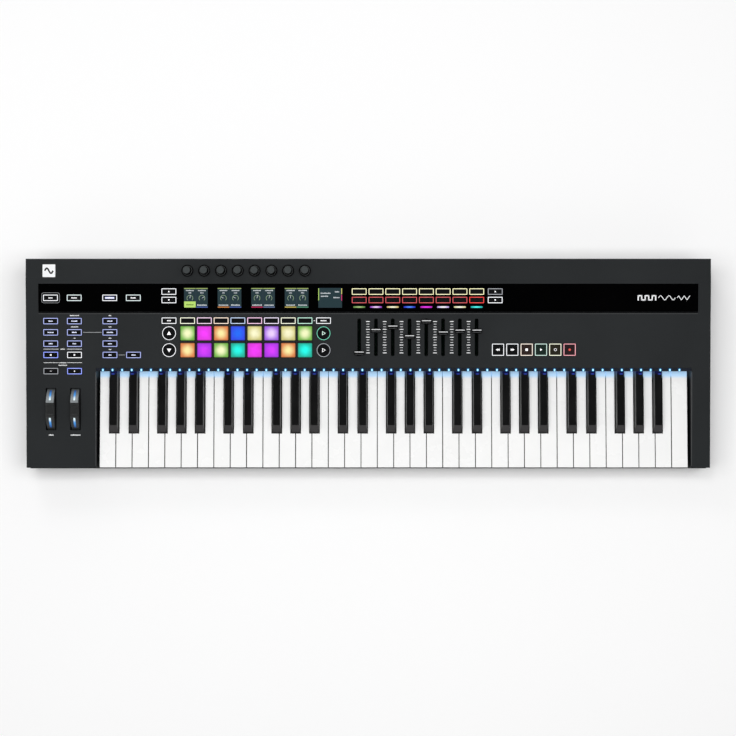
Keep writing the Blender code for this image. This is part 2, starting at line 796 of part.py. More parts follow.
def display_lens():
    """Glossy acrylic strip in the band's recess, pierced for the buttons."""
    middle = BAND.along(BAND_MIDDLE_Y)
    size = (2 * LENS_HALF_WIDTH - 2 * GAP, BAND.along(BAND_REAR_Y) - 0.0004 - 2 * GAP)
    bm = bmesh.new()
    add_loft(bm, [rectangle(0, middle, *size, level) for level in (-LENS_DEPTH, 0)])
    lens = make("display_lens", bm, gloss_black(), BAND.matrix())

    def holes(bm):
        through = (-0.004, 0.002)
        add_holes(bm, BAND, band_left_buttons(), BUTTON, through)
        for y in BAND_ROWS_Y:
            add_holes(bm, BAND, band_right_row(y), BUTTON, through)

    boolean(lens, guide("cut_lens_holes", holes, BAND.matrix()), "DIFFERENCE", "button holes")


def display_places():
    return [(DISPLAY_X + i * DISPLAY_PITCH, BAND_MIDDLE_Y) for i in range(DISPLAYS)]


def display_board():
    """Circuit board behind the band, with five display modules that reach up to the lens."""
    middle, board_top = BAND.along(BAND_MIDDLE_Y), BOARD_TOP - LENS_DEPTH - 0.0004
    bm = bmesh.new()
    levels = (board_top - BOARD_THICKNESS, board_top)
    add_loft(bm, [rectangle(-0.1300, middle, 0.680, 0.036, level) for level in levels])
    board = make("display_board", bm, circuit_board(), BAND.matrix())

    def modules(bm):
        top = -LENS_DEPTH - 2 * GAP
        add_blocks(bm, BAND, display_places(), DISPLAY, board_top - 0.0008, top)

    boolean(board, guide("join_displays", modules, BAND.matrix()), "UNION", "displays")


def control_board():
    """Circuit board under the main panel. Eight slide pots hang from it, each with a slot for its lever."""
    board_rear, pot_depth = 0.0700, 0.0060
    slot_middle = FADER_MIN_Y + FADER_TRAVEL / 2
    outline = [
        (-0.4720, -0.0200),
        (WINDOW_LEFT_X - SKIN - 0.0015, -0.0200),
        (WINDOW_LEFT_X - SKIN - 0.0015, 0.0040),
        (0.3000, 0.0040),
        (0.3000, board_rear),
        (-0.4720, board_rear),
    ]
    low = BOARD_TOP - BOARD_THICKNESS
    bm = bmesh.new()
    add_plan(bm, [(x, MAIN.along(y)) for x, y in outline], (low, BOARD_TOP))
    board = make("control_board", bm, circuit_board(), MAIN.matrix())
    places = [(x, slot_middle) for x in fader_columns()]

    def pots(bm):
        for x, y in places:
            levels = (low - pot_depth, low + 0.0005)
            add_loft(bm, [rectangle(x, MAIN.along(y), 0.0090, 0.0580, level) for level in levels])

    def slots(bm):
        for x, y in places:
            levels = (low - pot_depth + 0.0015, 0.0)
            add_loft(bm, [rectangle(x, MAIN.along(y), 0.0032, 0.0520, level) for level in levels])

    boolean(board, guide("join_slide_pots", pots, MAIN.matrix()), "UNION", "slide pots")
    boolean(board, guide("cut_lever_slots", slots, MAIN.matrix()), "DIFFERENCE", "lever slots")


def encoder_board():
    """Circuit board under the rear shelf, with an encoder below each knob."""
    place, low, top = REAR.along(KNOB_Y), -0.0120, -0.0104
    bm = bmesh.new()
    middle = PAD_COLUMN_X + 3.5 * COLUMN_PITCH
    add_loft(bm, [rectangle(middle, place, 0.196, 0.022, level) for level in (low, top)])
    board = make("encoder_board", bm, circuit_board(), REAR.matrix())

    def bodies(bm):
        for x in pad_columns():
            add_loft(bm, [rectangle(x, place, 0.0120, 0.0120, level) for level in (top - 0.0005, -0.0036)])

    def bores(bm):
        for x in pad_columns():
            add_loft(bm, [circle(x, place, SHAFT_RADIUS + GAP, level, 12) for level in (-0.0098, 0.0)])

    boolean(board, guide("join_encoders", bodies, REAR.matrix()), "UNION", "encoders")
    boolean(board, guide("cut_encoder_bores", bores, REAR.matrix()), "DIFFERENCE", "bores")


def knobs():
    """Turned: a thin skirt, a tapered cap, and the shaft that goes down into the encoder."""
    top = (HEIGHT - REAR.z(KNOB_Y)) * math.cos(REAR_SLOPE) - 0.00015
    profile = (
        (SHAFT_RADIUS - 0.0003, -0.0090),
        (SHAFT_RADIUS - 0.0003, 0.0010),
        (KNOB_RADIUS, 0.0010),
        (KNOB_RADIUS, 0.0022),
        (0.0074, 0.0032),
        (0.0061, top - 0.0008),
        (0.0053, top),
    )
    for i, x in enumerate(pad_columns()):
        bm = bmesh.new()
        add_loft(bm, [circle(0, 0, r, z) for r, z in profile])
        place = REAR.matrix() @ Matrix.Translation((x, REAR.along(KNOB_Y), 0))
        make(f"knob_{i + 1}", bm, soft_black(), place)


def fader_y(setting):
    return FADER_MIN_Y + setting * FADER_TRAVEL


def faders():
    """A ridged cap above the panel, and its lever down through the slot into the slide pot."""
    width, length, tall = FADER_CAP
    lift = 0.0012
    for i, (x, setting) in enumerate(zip(fader_columns(), FADER_SETTINGS)):
        bm = bmesh.new()
        rings = (
            (0.0018, 0.0040, -0.0100),
            (0.0018, 0.0040, lift),
            (width, length, lift),
            (width, length, lift + 0.0035),
            (width - 0.0012, 0.0022, lift + tall),
        )
        add_loft(bm, [rectangle(0, 0, w, d, z) for w, d, z in rings])
        place = MAIN.matrix() @ Matrix.Translation((x, MAIN.along(fader_y(setting)), 0))
        make(f"fader_{i + 1}", bm, soft_black(), place)


def wheel_axis():
    """(y, z) of the wheels' axis, straight below the middle of their slots along the panel's normal."""
    below = WHEEL_RADIUS - WHEEL_PROUD
    return (WHEEL_Y + below * math.sin(MAIN_SLOPE), MAIN.z(WHEEL_Y) - below * math.cos(MAIN_SLOPE))


def wheels():
    """A disc with a finger notch at the top, turning on its own stub axles."""
    count, notch, stub_radius, stub_half = 32, 0.0025, 0.0030, 0.0098
    half = WHEEL_WIDTH / 2
    for name, x in zip(("pitch_wheel", "modulation_wheel"), WHEELS_X):

        def rim(across, trim=0.0):
            ring = []
            for i in range(count):
                a = 2 * math.pi * i / count
                dip = notch if abs(a - math.pi / 2) < math.radians(16) else 0.0
                r = WHEEL_RADIUS - trim - dip
                ring.append((across, r * math.cos(a), r * math.sin(a)))
            return ring

        def stub(across):
            turns = [2 * math.pi * i / count for i in range(count)]
            return [(across, stub_radius * math.cos(a), stub_radius * math.sin(a)) for a in turns]

        bm = bmesh.new()
        rings = (
            stub(-stub_half),
            stub(-half),
            rim(-half, 0.0010),
            rim(-half + 0.0010),
            rim(half - 0.0010),
            rim(half, 0.0010),
            stub(half),
            stub(stub_half),
        )
        add_loft(bm, rings)
        make(name, bm, soft_black(), Matrix.Translation((x, *wheel_axis())))


def wheel_cradle():
    """Bracket on the case floor with three uprights, which hold the axles of both wheels."""
    base_z, peak_z, thick = 0.0080, 0.050, 0.0030
    axis_y, axis_z = wheel_axis()
    uprights = [WHEELS_X[0] - 0.0090, sum(WHEELS_X) / 2, WHEELS_X[1] + 0.0090]
    bm = bmesh.new()
    add_box(bm, (uprights[0] - 0.010, uprights[2] + 0.010), (axis_y - 0.020, axis_y + 0.020), (base_z, 0.0100))
    cradle = make("wheel_cradle", bm, material("cradle_plastic", (0.05, 0.05, 0.05), 0.6))
    wide = (thick, 0.0165, thick)

    def fill_uprights(bm):
        for x, across in zip(uprights, wide):
            box_x = (x - across / 2, x + across / 2)
            add_box(bm, box_x, (axis_y - 0.007, axis_y + 0.007), (base_z + 0.001, peak_z))

    def axle_bore(bm):
        turns = [2 * math.pi * i / 16 for i in range(16)]
        r = 0.0034
        ring = [(axis_y + r * math.cos(a), axis_z + r * math.sin(a)) for a in turns]
        add_profile(bm, ring, (uprights[0] - 0.012, uprights[2] + 0.012))

    boolean(cradle, guide("join_uprights", fill_uprights), "UNION", "uprights")
    boolean(cradle, guide("cut_axle_bore", axle_bore), "DIFFERENCE", "axle bore")


# ---------------------------------------------------------------- inside and rear


def main_board():
    """Processor board on the case floor, with its larger parts."""
    bm = bmesh.new()
    add_box(bm, (-0.2300, 0.1900), (0.0640, 0.1380), (0.0120, 0.0136))
    board = make("main_board", bm, circuit_board())

    def parts(bm):
        low = 0.0130
        add_box(bm, (-0.060, -0.036), (0.085, 0.109), (low, 0.0160))
        add_box(bm, (-0.010, 0.006), (0.090, 0.102), (low, 0.0152))
        add_box(bm, (-0.200, -0.185), (0.110, 0.125), (low, 0.0240))
        add_box(bm, (0.120, 0.150), (0.080, 0.090), (low, 0.0200))

    boolean(board, guide("join_chips", parts), "UNION", "chips")


def rear_socket_board():
    """Steel face plate in the rear wall, with every socket's body behind it on one small board."""
    back = 0.1300
    bm = bmesh.new()
    add_box(bm, PLATE_X, PLATE_Y, PLATE_Z)
    plate = make("rear_socket_board", bm, steel())

    front = PLATE_Y[0] + 0.0005

    def board(bm):
        add_box(bm, (PLATE_X[0] + 0.028, PLATE_X[1] - 0.004), (back - 0.010, front), (0.0415, 0.0431))

    def bodies(bm):
        def body(x, half_width, top, depth):
            add_box(bm, (x - half_width, x + half_width), (front - depth, front), (0.0425, top))

        body(DC_X, 0.0055, 0.0600, 0.0130)
        body(USB_X, 0.0065, 0.0600, 0.0150)
        for x in MIDI_X:
            body(x, 0.0100, 0.0635, 0.0140)
        for i in range(MINI_JACKS):
            body(MINI_JACK_X + i * MINI_JACK_PITCH, 0.0042, 0.0580, 0.0120)
        for x in JACK_X:
            body(x, 0.0080, 0.0615, 0.0240)

    def bore(bm, x, radius, depth, count=12):
        turns = [2 * math.pi * (i + 0.5) / count for i in range(count)]
        y0, y1 = PLATE_Y[1] - depth, PLATE_Y[1] + 0.003
        ring = [(x + radius * math.cos(a), SOCKET_Z + radius * math.sin(a)) for a in turns]
        add_loft(bm, [[(px, y, pz) for px, pz in ring] for y in (y0, y1)])

    def openings(bm):
        bore(bm, DC_X, 0.0032, 0.0100)
        add_box(bm, (USB_X - 0.0043, USB_X + 0.0043), (PLATE_Y[1] - 0.0110, 0.152), (0.0490, 0.0570))
        for x in MIDI_X:
            bore(bm, x, 0.0072, 0.0100, 16)
        for i in range(MINI_JACKS):
            bore(bm, MINI_JACK_X + i * MINI_JACK_PITCH, 0.0018, 0.0100, 10)
        for x in JACK_X:
            bore(bm, x, 0.0033, 0.0210)
        add_box(bm, (POWER_X - 0.0056, POWER_X + 0.0056), (0.140, 0.152), (SOCKET_Z - 0.0056, SOCKET_Z + 0.0056))

    boolean(plate, guide("join_socket_board", board), "UNION", "socket board")
    boolean(plate, guide("join_sockets", bodies), "UNION", "socket bodies")
    boolean(plate, guide("cut_sockets", openings), "DIFFERENCE", "socket openings")


def power_button():
    half = 0.0052
    bm = bmesh.new()
    rings = ((half, 0.1390), (half, 0.1488), (half - 0.0006, 0.1494))
    x, z = POWER_X, SOCKET_Z
    corners = ((-1, -1), (-1, 1), (1, 1), (1, -1))
    add_loft(bm, [[(x + h * sx, y, z + h * sz) for sx, sz in corners] for h, y in rings])
    make("power_button", bm, soft_black())


def main():
    clear_scene()
    top_case()
    bottom_case()
    feet()
    keyboard()
    keybed_chassis()
    key_guide_rail()
    key_contact_board()
    key_light_bar()
    main_panel_mats()
    band_mats()
    display_lens()
    display_board()
    control_board()
    encoder_board()
    knobs()
    faders()
    wheels()
    wheel_cradle()
    main_board()
    rear_socket_board()
    power_button()


main()
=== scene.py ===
"""Looks for the 61-key controller synthesizer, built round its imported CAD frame.

Metres, in the frame's own axes: +X the player's right, +Y to the rear, +Z up. Lengths below repeat part.py's.
"""

import json
import math
import random

import bmesh
import bpy
from mathutils import Matrix, Vector

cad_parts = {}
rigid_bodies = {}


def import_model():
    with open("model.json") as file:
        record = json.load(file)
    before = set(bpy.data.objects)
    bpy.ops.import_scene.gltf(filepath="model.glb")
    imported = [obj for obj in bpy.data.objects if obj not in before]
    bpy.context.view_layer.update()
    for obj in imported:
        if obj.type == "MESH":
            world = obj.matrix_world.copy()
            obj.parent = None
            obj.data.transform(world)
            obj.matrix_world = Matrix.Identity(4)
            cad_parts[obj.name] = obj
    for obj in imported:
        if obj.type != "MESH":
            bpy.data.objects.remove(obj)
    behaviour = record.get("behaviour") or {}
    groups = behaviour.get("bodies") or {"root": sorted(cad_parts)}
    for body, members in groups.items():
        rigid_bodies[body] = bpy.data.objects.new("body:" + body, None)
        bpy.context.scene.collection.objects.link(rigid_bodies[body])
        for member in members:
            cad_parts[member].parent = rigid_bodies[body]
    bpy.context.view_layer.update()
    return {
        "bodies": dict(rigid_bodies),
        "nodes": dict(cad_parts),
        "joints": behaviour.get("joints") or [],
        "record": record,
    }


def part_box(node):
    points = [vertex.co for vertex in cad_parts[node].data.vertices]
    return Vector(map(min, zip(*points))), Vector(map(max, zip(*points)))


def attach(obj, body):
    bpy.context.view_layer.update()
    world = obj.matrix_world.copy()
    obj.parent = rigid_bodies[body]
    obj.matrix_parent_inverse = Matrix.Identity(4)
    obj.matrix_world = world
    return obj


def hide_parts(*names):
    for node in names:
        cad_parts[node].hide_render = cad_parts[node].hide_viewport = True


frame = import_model()

MM = 0.001

# Planes of the top
MAIN_SLOPE, BAND_SLOPE, REAR_SLOPE = (math.radians(d) for d in (4.5, 6.0, 1.5))
BAND_FRONT_Y, BAND_REAR_Y = 0.0733, 0.1141

# Controls
COLUMN_PITCH = 0.0240
PAD_COLUMNS = [-0.2585 + i * COLUMN_PITCH for i in range(8)]
FADER_COLUMNS = [-0.0130 + i * COLUMN_PITCH for i in range(8)]
SIDE_COLUMNS = (PAD_COLUMNS[0] - 0.0265, PAD_COLUMNS[-1] + 0.0265)
FUNCTION_X = (-0.4543, -0.4204, -0.3696, -0.3359)
FUNCTION_Y = (0.0606, 0.0445, 0.0284, 0.0123, -0.0108)
BAND_Y = (BAND_FRONT_Y + BAND_REAR_Y) / 2
BAND_ROWS = (BAND_Y + 0.0089, BAND_Y - 0.0031)
BUTTON = (0.0212, 0.0092)
PAD = 0.0212
PAD_ROWS = (0.0432, 0.0191)
PAD_BUTTON_Y = 0.0612
ROUND = 0.0099
TRANSPORT = 0.0174
TRANSPORT_X = [0.1856 + i * 0.0205 for i in range(6)]
TRANSPORT_Y = 0.0198
KNOB_Y = 0.1323
FADER_MIN_Y, FADER_TRAVEL = 0.0152, 0.0445
FADER_SETTINGS = (0.0, 0.72, 0.83, 0.52, 1.0, 0.64, 0.70, 0.70)
WHEELS = (("pitch_wheel", -0.4545), ("modulation_wheel", -0.4196))
WHEEL_Y, WHEEL_RADIUS, WHEEL_PROUD, WHEEL_WIDTH = -0.0652, 0.035, 0.0125, 0.0127
LAMP_LEFT, LAMP_PITCH, LAMPS_IN_ALL = -0.3800, 0.01376, 61
SOCKET_Z, PLATE_Y = 0.053, 0.147


class Plane:
    """One of the planes of the top, by its front edge and slope."""

    def __init__(self, front_y, front_z, slope):
        self.front_y, self.front_z, self.slope = front_y, front_z, slope

    def z(self, y):
        return self.front_z + (y - self.front_y) * math.tan(self.slope)

    def along(self, y):
        return (y - self.front_y) / math.cos(self.slope)

    def matrix(self):
        return Matrix.Translation((0, self.front_y, self.front_z)) @ Matrix.Rotation(self.slope, 4, "X")


MAIN = Plane(-0.149, 0.062, MAIN_SLOPE)
BAND = Plane(BAND_FRONT_Y, MAIN.z(BAND_FRONT_Y), BAND_SLOPE)
REAR = Plane(BAND_REAR_Y, BAND.z(BAND_REAR_Y), REAR_SLOPE)


# Materials


def lin(r, g, b):
    """A display colour from 0 to 255, as linear light."""
    return tuple(c / 255 / 12.92 if c <= 10 else ((c / 255 + 0.055) / 1.055) ** 2.4 for c in (r, g, b))


RANGE_SOCKETS = ("From Min", "From Max", "To Min", "To Max")


class Stuff:
    """A procedural material that is put together node by node."""

    def __init__(self, name, colour=(0, 0, 0), roughness=0.5, **sockets):
        self.material = bpy.data.materials.new(name)
        self.material.use_nodes = True
        self.tree = self.material.node_tree
        self.shader = self.tree.nodes["Principled BSDF"]
        self.set("Base Color", (*colour, 1))
        self.set("Roughness", roughness)
        for key, value in sockets.items():
            self.set(key.replace("_", " "), value)

    def set(self, socket, value):
        self.shader.inputs[socket].default_value = value

    def node(self, kind, **settings):
        made = self.tree.nodes.new("ShaderNode" + kind)
        for key, value in settings.items():
            setattr(made, key, value)
        return made

    def link(self, source, target):
        self.tree.links.new(source, target)

    def drive(self, socket, source):
        self.link(source, self.shader.inputs[socket])

    def emit(self, colour, strength=1.0):
        self.drive("Emission Color", colour)
        self.set("Emission Strength", strength)

    def coords(self, output="Object"):
        return self.node("TexCoord").outputs[output]

    def split(self, output="Object"):
        parts = self.node("SeparateXYZ")
        self.link(self.coords(output), parts.inputs[0])
        return parts.outputs

    def math(self, operation, *values):
        made = self.node("Math", operation=operation)
        for socket, value in zip(made.inputs, values):
            if isinstance(value, (int, float)):
                socket.default_value = value
            else:
                self.link(value, socket)
        return made.outputs[0]

    def noise(self, scale, detail=2.0, stretch=(1, 1, 1)):
        mapping = self.node("Mapping")
        mapping.inputs["Scale"].default_value = stretch
        self.link(self.coords(), mapping.inputs["Vector"])
        made = self.node("TexNoise")
        made.inputs["Scale"].default_value = scale
        made.inputs["Detail"].default_value = detail
        self.link(mapping.outputs[0], made.inputs["Vector"])
        return made.outputs["Fac"]

    def remap(self, value, low, high, to_low=0, to_high=1, smooth=False):
        made = self.node("MapRange", interpolation_type="SMOOTHSTEP" if smooth else "LINEAR")
        for socket, number in zip(RANGE_SOCKETS, (low, high, to_low, to_high)):
            made.inputs[socket].default_value = number
        self.link(value, made.inputs["Value"])
        return made.outputs["Result"]

    def mix(self, factor, a, b, blend="MIX"):
        made = self.node("Mix", data_type="RGBA", blend_type=blend)
        for socket, value in ((made.inputs[0], factor), (made.inputs[6], a), (made.inputs[7], b)):
            if isinstance(value, tuple):
                socket.default_value = (*value, 1)
            elif isinstance(value, (int, float)):
                socket.default_value = value
            else:
                self.link(value, socket)
        return made.outputs[2]

    def times(self, colour, level):
        """A colour made lighter or darker by a level that varies over the surface."""
        grey = self.node("CombineXYZ")
        for socket in grey.inputs:
            self.link(level, socket)
        return self.mix(1.0, colour, grey.outputs[0], "MULTIPLY")

    def cloudy(self, scale, detail, dark, light):
        """A colour that drifts between two."""
        return self.mix(self.remap(self.noise(scale, detail), 0.3, 0.7), dark, light)

    def handled(self, scale, dull, glossy):
        """Patches of gloss, as hands leave them."""
        self.drive("Roughness", self.remap(self.noise(scale, 5), 0.35, 0.7, dull, glossy))

    def ramp(self, axis, start, end):
        """0 at start to 1 at end, along an axis of the object's own coordinates."""
        return self.remap(self.split()["XYZ".index(axis)], start, end, smooth=True)

    def facing(self, axis, start, end):
        """0 to 1 as the surface turns to face along an axis of the object, either way."""
        part = self.split("Normal")["XYZ".index(axis)]
        return self.remap(self.math("ABSOLUTE", part), start, end, smooth=True)

    def bump(self, height, strength, distance):
        made = self.node("Bump")
        made.inputs["Strength"].default_value = strength
        made.inputs["Distance"].default_value = distance
        self.link(height, made.inputs["Height"])
        self.drive("Normal", made.outputs[0])


def moulded(name, colour, roughness, grain=2400, depth=0.00005, mottle=0.10, **sockets):
    """Moulded plastic: fine spark-eroded grain, slight cloudiness of colour and handled patches of gloss."""
    stuff = Stuff(name, colour, roughness, **sockets)
    dark, light, pale = (tuple(c * (1 + k * mottle) for c in colour) for k in (-1, 1, 2))
    speck = stuff.remap(stuff.noise(grain / 3, 2), 0.35, 0.65, 0, 0.25)
    stuff.drive("Base Color", stuff.mix(speck, stuff.cloudy(9, 4, dark, light), pale))
    stuff.handled(22, roughness + 0.06, roughness - 0.07)
    stuff.bump(stuff.noise(grain, 3), 0.5, depth)
    return stuff.material


def printed(name, colour, roughness=0.5, mottle=0.05):
    """Ink, or another layer as thin."""
    return moulded(name, colour, roughness, grain=3000, depth=0.00002, mottle=mottle)


def glow(name, edge, centre=None, strength=1.0, reach=(0.0, 0.62), border=0.5):
    """Lit silicone or a lamp: brightest in the middle of its own UV square, dimmer at its border."""
    stuff = Stuff(name, (0.02, 0.02, 0.02), 0.42, Specular_IOR_Level=0.25)
    across = [stuff.math("ABSOLUTE", stuff.math("SUBTRACT", part, 0.5)) for part in stuff.split("UV")[:2]]
    distance = stuff.math("SQRT", stuff.math("ADD", *(stuff.math("MULTIPLY", a, a) for a in across)))
    colour = stuff.mix(stuff.remap(distance, *reach, smooth=True), centre or edge, edge)
    rim = stuff.remap(stuff.math("MAXIMUM", *across), 0.41, 0.5, 1, border, smooth=True)
    uneven = stuff.remap(stuff.noise(160, 3), 0.3, 0.7, 0.92, 1.06)
    stuff.emit(stuff.times(colour, stuff.math("MULTIPLY", rim, uneven)), strength)
    stuff.bump(stuff.noise(1400, 2), 0.25, 0.00003)
    return stuff.material


def white_key_material():
    """White keys: pale tops, sides darkened by painted shade, and painted lamplight at the back."""
    stuff = Stuff("white_key", (0.86, 0.86, 0.85), 0.22, Coat_Weight=0.25, Coat_Roughness=0.12)
    # Painted lamplight: the back of each key is tinted blue and made to glow, as if lit by the key lamps
    # above it.
    lit = stuff.ramp("Y", -0.0215, -0.0155)
    plain = stuff.cloudy(30, 3, (0.90, 0.90, 0.895), (0.93, 0.93, 0.925))
    # Painted shade: the sides of each key are made near black, for the shade in the gaps between keys.
    painted_side_shade = stuff.mix(stuff.facing("X", 0.2, 0.65), plain, (0.012, 0.012, 0.013))
    stuff.drive("Base Color", stuff.mix(lit, painted_side_shade, lin(152, 182, 212)))
    stuff.emit(stuff.mix(lit, (0, 0, 0), lin(122, 150, 170)))
    stuff.handled(26, 0.30, 0.18)
    stuff.bump(stuff.noise(900, 2), 0.2, 0.00002)
    return stuff.material


def black_key_material():
    """Black keys: a painted highlight along the long edges, a front slope made paler as a painted reflection,
    painted shade on the steep sides, and painted lamplight at the back.
    """
    stuff = Stuff("black_key", (0.006, 0.006, 0.006), 0.34, Specular_IOR_Level=0.34)
    plain = stuff.cloudy(40, 3, (0.0040, 0.0041, 0.0042), (0.0066, 0.0066, 0.0069))
    # Painted reflection: the front slope is made paler, for the light it reflects from in front.
    plain = stuff.mix(stuff.facing("Y", 0.3, 0.6), plain, (0.033, 0.031, 0.032))
    # Painted highlight: a paler line where the bevel turns from the top to the side.
    edge = stuff.math("MULTIPLY", stuff.facing("X", 0.10, 0.40), stuff.facing("X", 0.80, 0.50))
    plain = stuff.mix(edge, plain, (0.040, 0.040, 0.042))
    # Painted shade: the steep sides are made near black.
    plain = stuff.mix(stuff.facing("X", 0.70, 0.90), plain, (0.0008, 0.0008, 0.0009))
    stuff.drive("Base Color", plain)
    # Painted lamplight: a blue glow at the back of the key, brightest in a spot beside each key lamp.
    lit = stuff.ramp("Y", -0.0165, -0.0115)
    x, y, _ = stuff.split()
    back = stuff.remap(stuff.math("ABSOLUTE", stuff.math("ADD", y, 0.0146)), 0.0003, 0.0012, 1, 0)
    painted_lamp_spot = stuff.math("MULTIPLY", back, lamp_pool(stuff, x, 0.0008, 0.0034))
    stuff.emit(stuff.mix(painted_lamp_spot, stuff.mix(lit, (0, 0, 0), lin(2, 8, 62)), lin(44, 66, 172)))
    stuff.handled(34, 0.42, 0.28)
    stuff.bump(stuff.noise(2200, 3), 0.35, 0.00003)
    return stuff.material


def lamp_pool(stuff, x, near, far):
    """1 beside a key lamp, falling to 0, by the distance along X to the nearest of the 61."""
    away = stuff.math("PINGPONG", stuff.math("ADD", x, 8 * LAMP_PITCH - LAMP_LEFT), LAMP_PITCH / 2)
    last = LAMP_LEFT + (LAMPS_IN_ALL - 1) * LAMP_PITCH
    pool = stuff.remap(away, near, far, 1, 0, smooth=True)
    return stuff.math("MULTIPLY", pool, stuff.remap(x, last + 0.003, last + 0.007, 1, 0))


def light_bar_material():
    """Dark light guide, with a blue pool round each of its lamps."""
    stuff = Stuff("light_bar", (0.012, 0.014, 0.018), 0.3)
    pool = lamp_pool(stuff, stuff.split()[0], 0.0, 0.0036)
    stuff.emit(stuff.mix(pool, lin(3, 6, 17), lin(6, 68, 120)), 0.9)
    stuff.bump(stuff.noise(1800, 2), 0.3, 0.00003)
    return stuff.material


def brushed(name, colour, roughness, stretch=(1, 40, 40)):
    stuff = Stuff(name, colour, roughness, Metallic=1.0)
    streak = stuff.noise(70, 4, stretch)
    dark = tuple(c * 0.82 for c in colour)
    stuff.drive("Base Color", stuff.mix(stuff.remap(streak, 0.3, 0.7), dark, colour))
    stuff.drive("Roughness", stuff.remap(streak, 0.3, 0.7, roughness + 0.1, roughness - 0.06))
    stuff.bump(streak, 0.2, 0.00004)
    return stuff.material


def lens_material():
    stuff = Stuff("lens_gloss", (0.0005, 0.0005, 0.0006), 0.05, Coat_Weight=0.2, Coat_Roughness=0.03)
    smudge = stuff.noise(14, 6, (1, 2.5, 1))
    stuff.drive("Roughness", stuff.remap(smudge, 0.45, 0.75, 0.04, 0.13))
    stuff.drive("Base Color", stuff.cloudy(5, 3, (0.0003, 0.0003, 0.0004), (0.0008, 0.0008, 0.0009)))
    stuff.bump(stuff.noise(6, 1), 0.05, 0.0002)
    return stuff.material


def screen_material(name, *colour):
    """A lit area of a display, with its fine grid of pixels."""
    bright = lin(*colour)
    stuff = Stuff("screen_" + name, tuple(c * 0.1 for c in bright), 0.12)
    pixels = stuff.node("TexWave", wave_type="BANDS", bands_direction="X")
    pixels.inputs["Scale"].default_value = 900
    stuff.link(stuff.coords(), pixels.inputs["Vector"])
    level = stuff.remap(pixels.outputs["Fac"], 0, 1, 0.0, 0.25)
    stuff.emit(stuff.mix(level, bright, tuple(c * 0.55 for c in bright)))
    return stuff.material


def board_material(name="circuit_board", shade=1.0):
    stuff = Stuff(name, (0.01, 0.09, 0.045), 0.38)
    weave = stuff.node("TexBrick")
    weave.inputs["Scale"].default_value = 180
    colours = {"Color1": (0.008, 0.085, 0.040), "Color2": (0.011, 0.100, 0.050), "Mortar": (0.02, 0.15, 0.08)}
    for key, value in colours.items():
        weave.inputs[key].default_value = (*(c * shade for c in value), 1)
    stuff.link(stuff.coords(), weave.inputs["Vector"])
    stuff.drive("Base Color", weave.outputs["Color"])
    stuff.bump(weave.outputs["Fac"], 0.3, 0.00005)
    return stuff.material


CASE = moulded("case_plastic", (0.0187, 0.0206, 0.0218), 0.46, Specular_IOR_Level=0.35)
INK = printed("white_print", (0.88, 0.89, 0.90))
DIM_INK = printed("grey_print", (0.30, 0.31, 0.32))
TICK_INK = printed("tick_print", (0.62, 0.63, 0.64))
# Painted highlight: pale lines standing for light caught on edges of the panel.
EDGE_HIGHLIGHT = printed("painted_edge_highlight", (0.062, 0.064, 0.066), 0.4, 0.10)
SOFT_BLACK = moulded("soft_black", (0.0060, 0.0065, 0.0065), 0.46, grain=3200, depth=0.00004, mottle=0.14)
FINE = {"grain": 3200, "depth": 0.00003}
DEEP_BLACK = moulded("deep_black", (0.0016, 0.0017, 0.0018), 0.6, **FINE, mottle=0.2, Specular_IOR_Level=0.12)
CAP_TOP = moulded("knob_cap", (0.043, 0.049, 0.050), 0.42, **FINE)
SKIRT = moulded("knob_skirt", (0.085, 0.089, 0.091), 0.42, **FINE)
FADER_SIDE = moulded("fader_side", (0.085, 0.088, 0.091), 0.4, **FINE, mottle=0.08)
FADER_LINE = moulded("fader_line", (0.66, 0.67, 0.68), 0.4, mottle=0.05)
SILICONE = moulded("dark_silicone", (0.0060, 0.0062, 0.0075), 0.55, 2600, 0.00003)
DARK_CAP = moulded("button_cap", (0.0042, 0.0044, 0.0050), 0.5, 2600, 0.00003, 0.12, Specular_IOR_Level=0.25)
RUBBER = moulded("foot_rubber", (0.012, 0.012, 0.012), 0.8, grain=1500, depth=0.00012, mottle=0.2)
WHEEL_NOTCH = moulded("wheel_notch", (0.020, 0.021, 0.021), 0.42, 2800, 0.00003, 0.12)
# Front tyre of a wheel: the rear tyre's plastic, darkened as painted shade on the side turned from the light.
WHEEL_FRONT_SHADED = moulded("wheel_front_painted_shade", (0.034, 0.036, 0.037), 0.40, 2800, 0.00003, 0.12)
NYLON = moulded("nylon", (0.62, 0.61, 0.55), 0.45, mottle=0.04)
STEEL = brushed("zinc_steel", (0.50, 0.50, 0.52), 0.34)
DARK_STEEL = brushed("blackened_steel", (0.045, 0.046, 0.048), 0.42)
BRASS = brushed("contact_brass", (0.75, 0.60, 0.30), 0.3, (1, 1, 1))

GLOWS = {
    "white": ((236, 238, 242), (255, 255, 255)),
    "grey": ((150, 153, 158), (168, 170, 176)),
    "blue": ((160, 170, 228), (196, 206, 248)),
    "bright_blue": ((140, 156, 255), (196, 208, 255)),
    "mint": ((214, 228, 228), (240, 248, 250)),
    "yellow": ((246, 242, 190), (255, 254, 224)),
    "red": ((198, 74, 80), (218, 122, 120)),
    "deep_red": ((236, 56, 54), (246, 110, 100)),
    "cream": ((242, 244, 220), (254, 255, 240)),
    "pink": ((244, 212, 238), (252, 232, 248)),
    "rose": ((248, 200, 232), (254, 224, 246)),
    "peach": ((246, 224, 204), (254, 242, 230)),
    "sky": ((186, 206, 238), (222, 234, 250)),
    "lilac": ((234, 222, 244), (248, 240, 254)),
    "rim_mint": ((184, 232, 212), (218, 246, 232)),
    "teal": ((92, 190, 158), (150, 224, 200)),
    "record": ((240, 160, 170), (250, 204, 206)),
    "stop": ((246, 232, 218), (254, 246, 238)),
    "play": ((192, 220, 210), (218, 236, 228)),
}
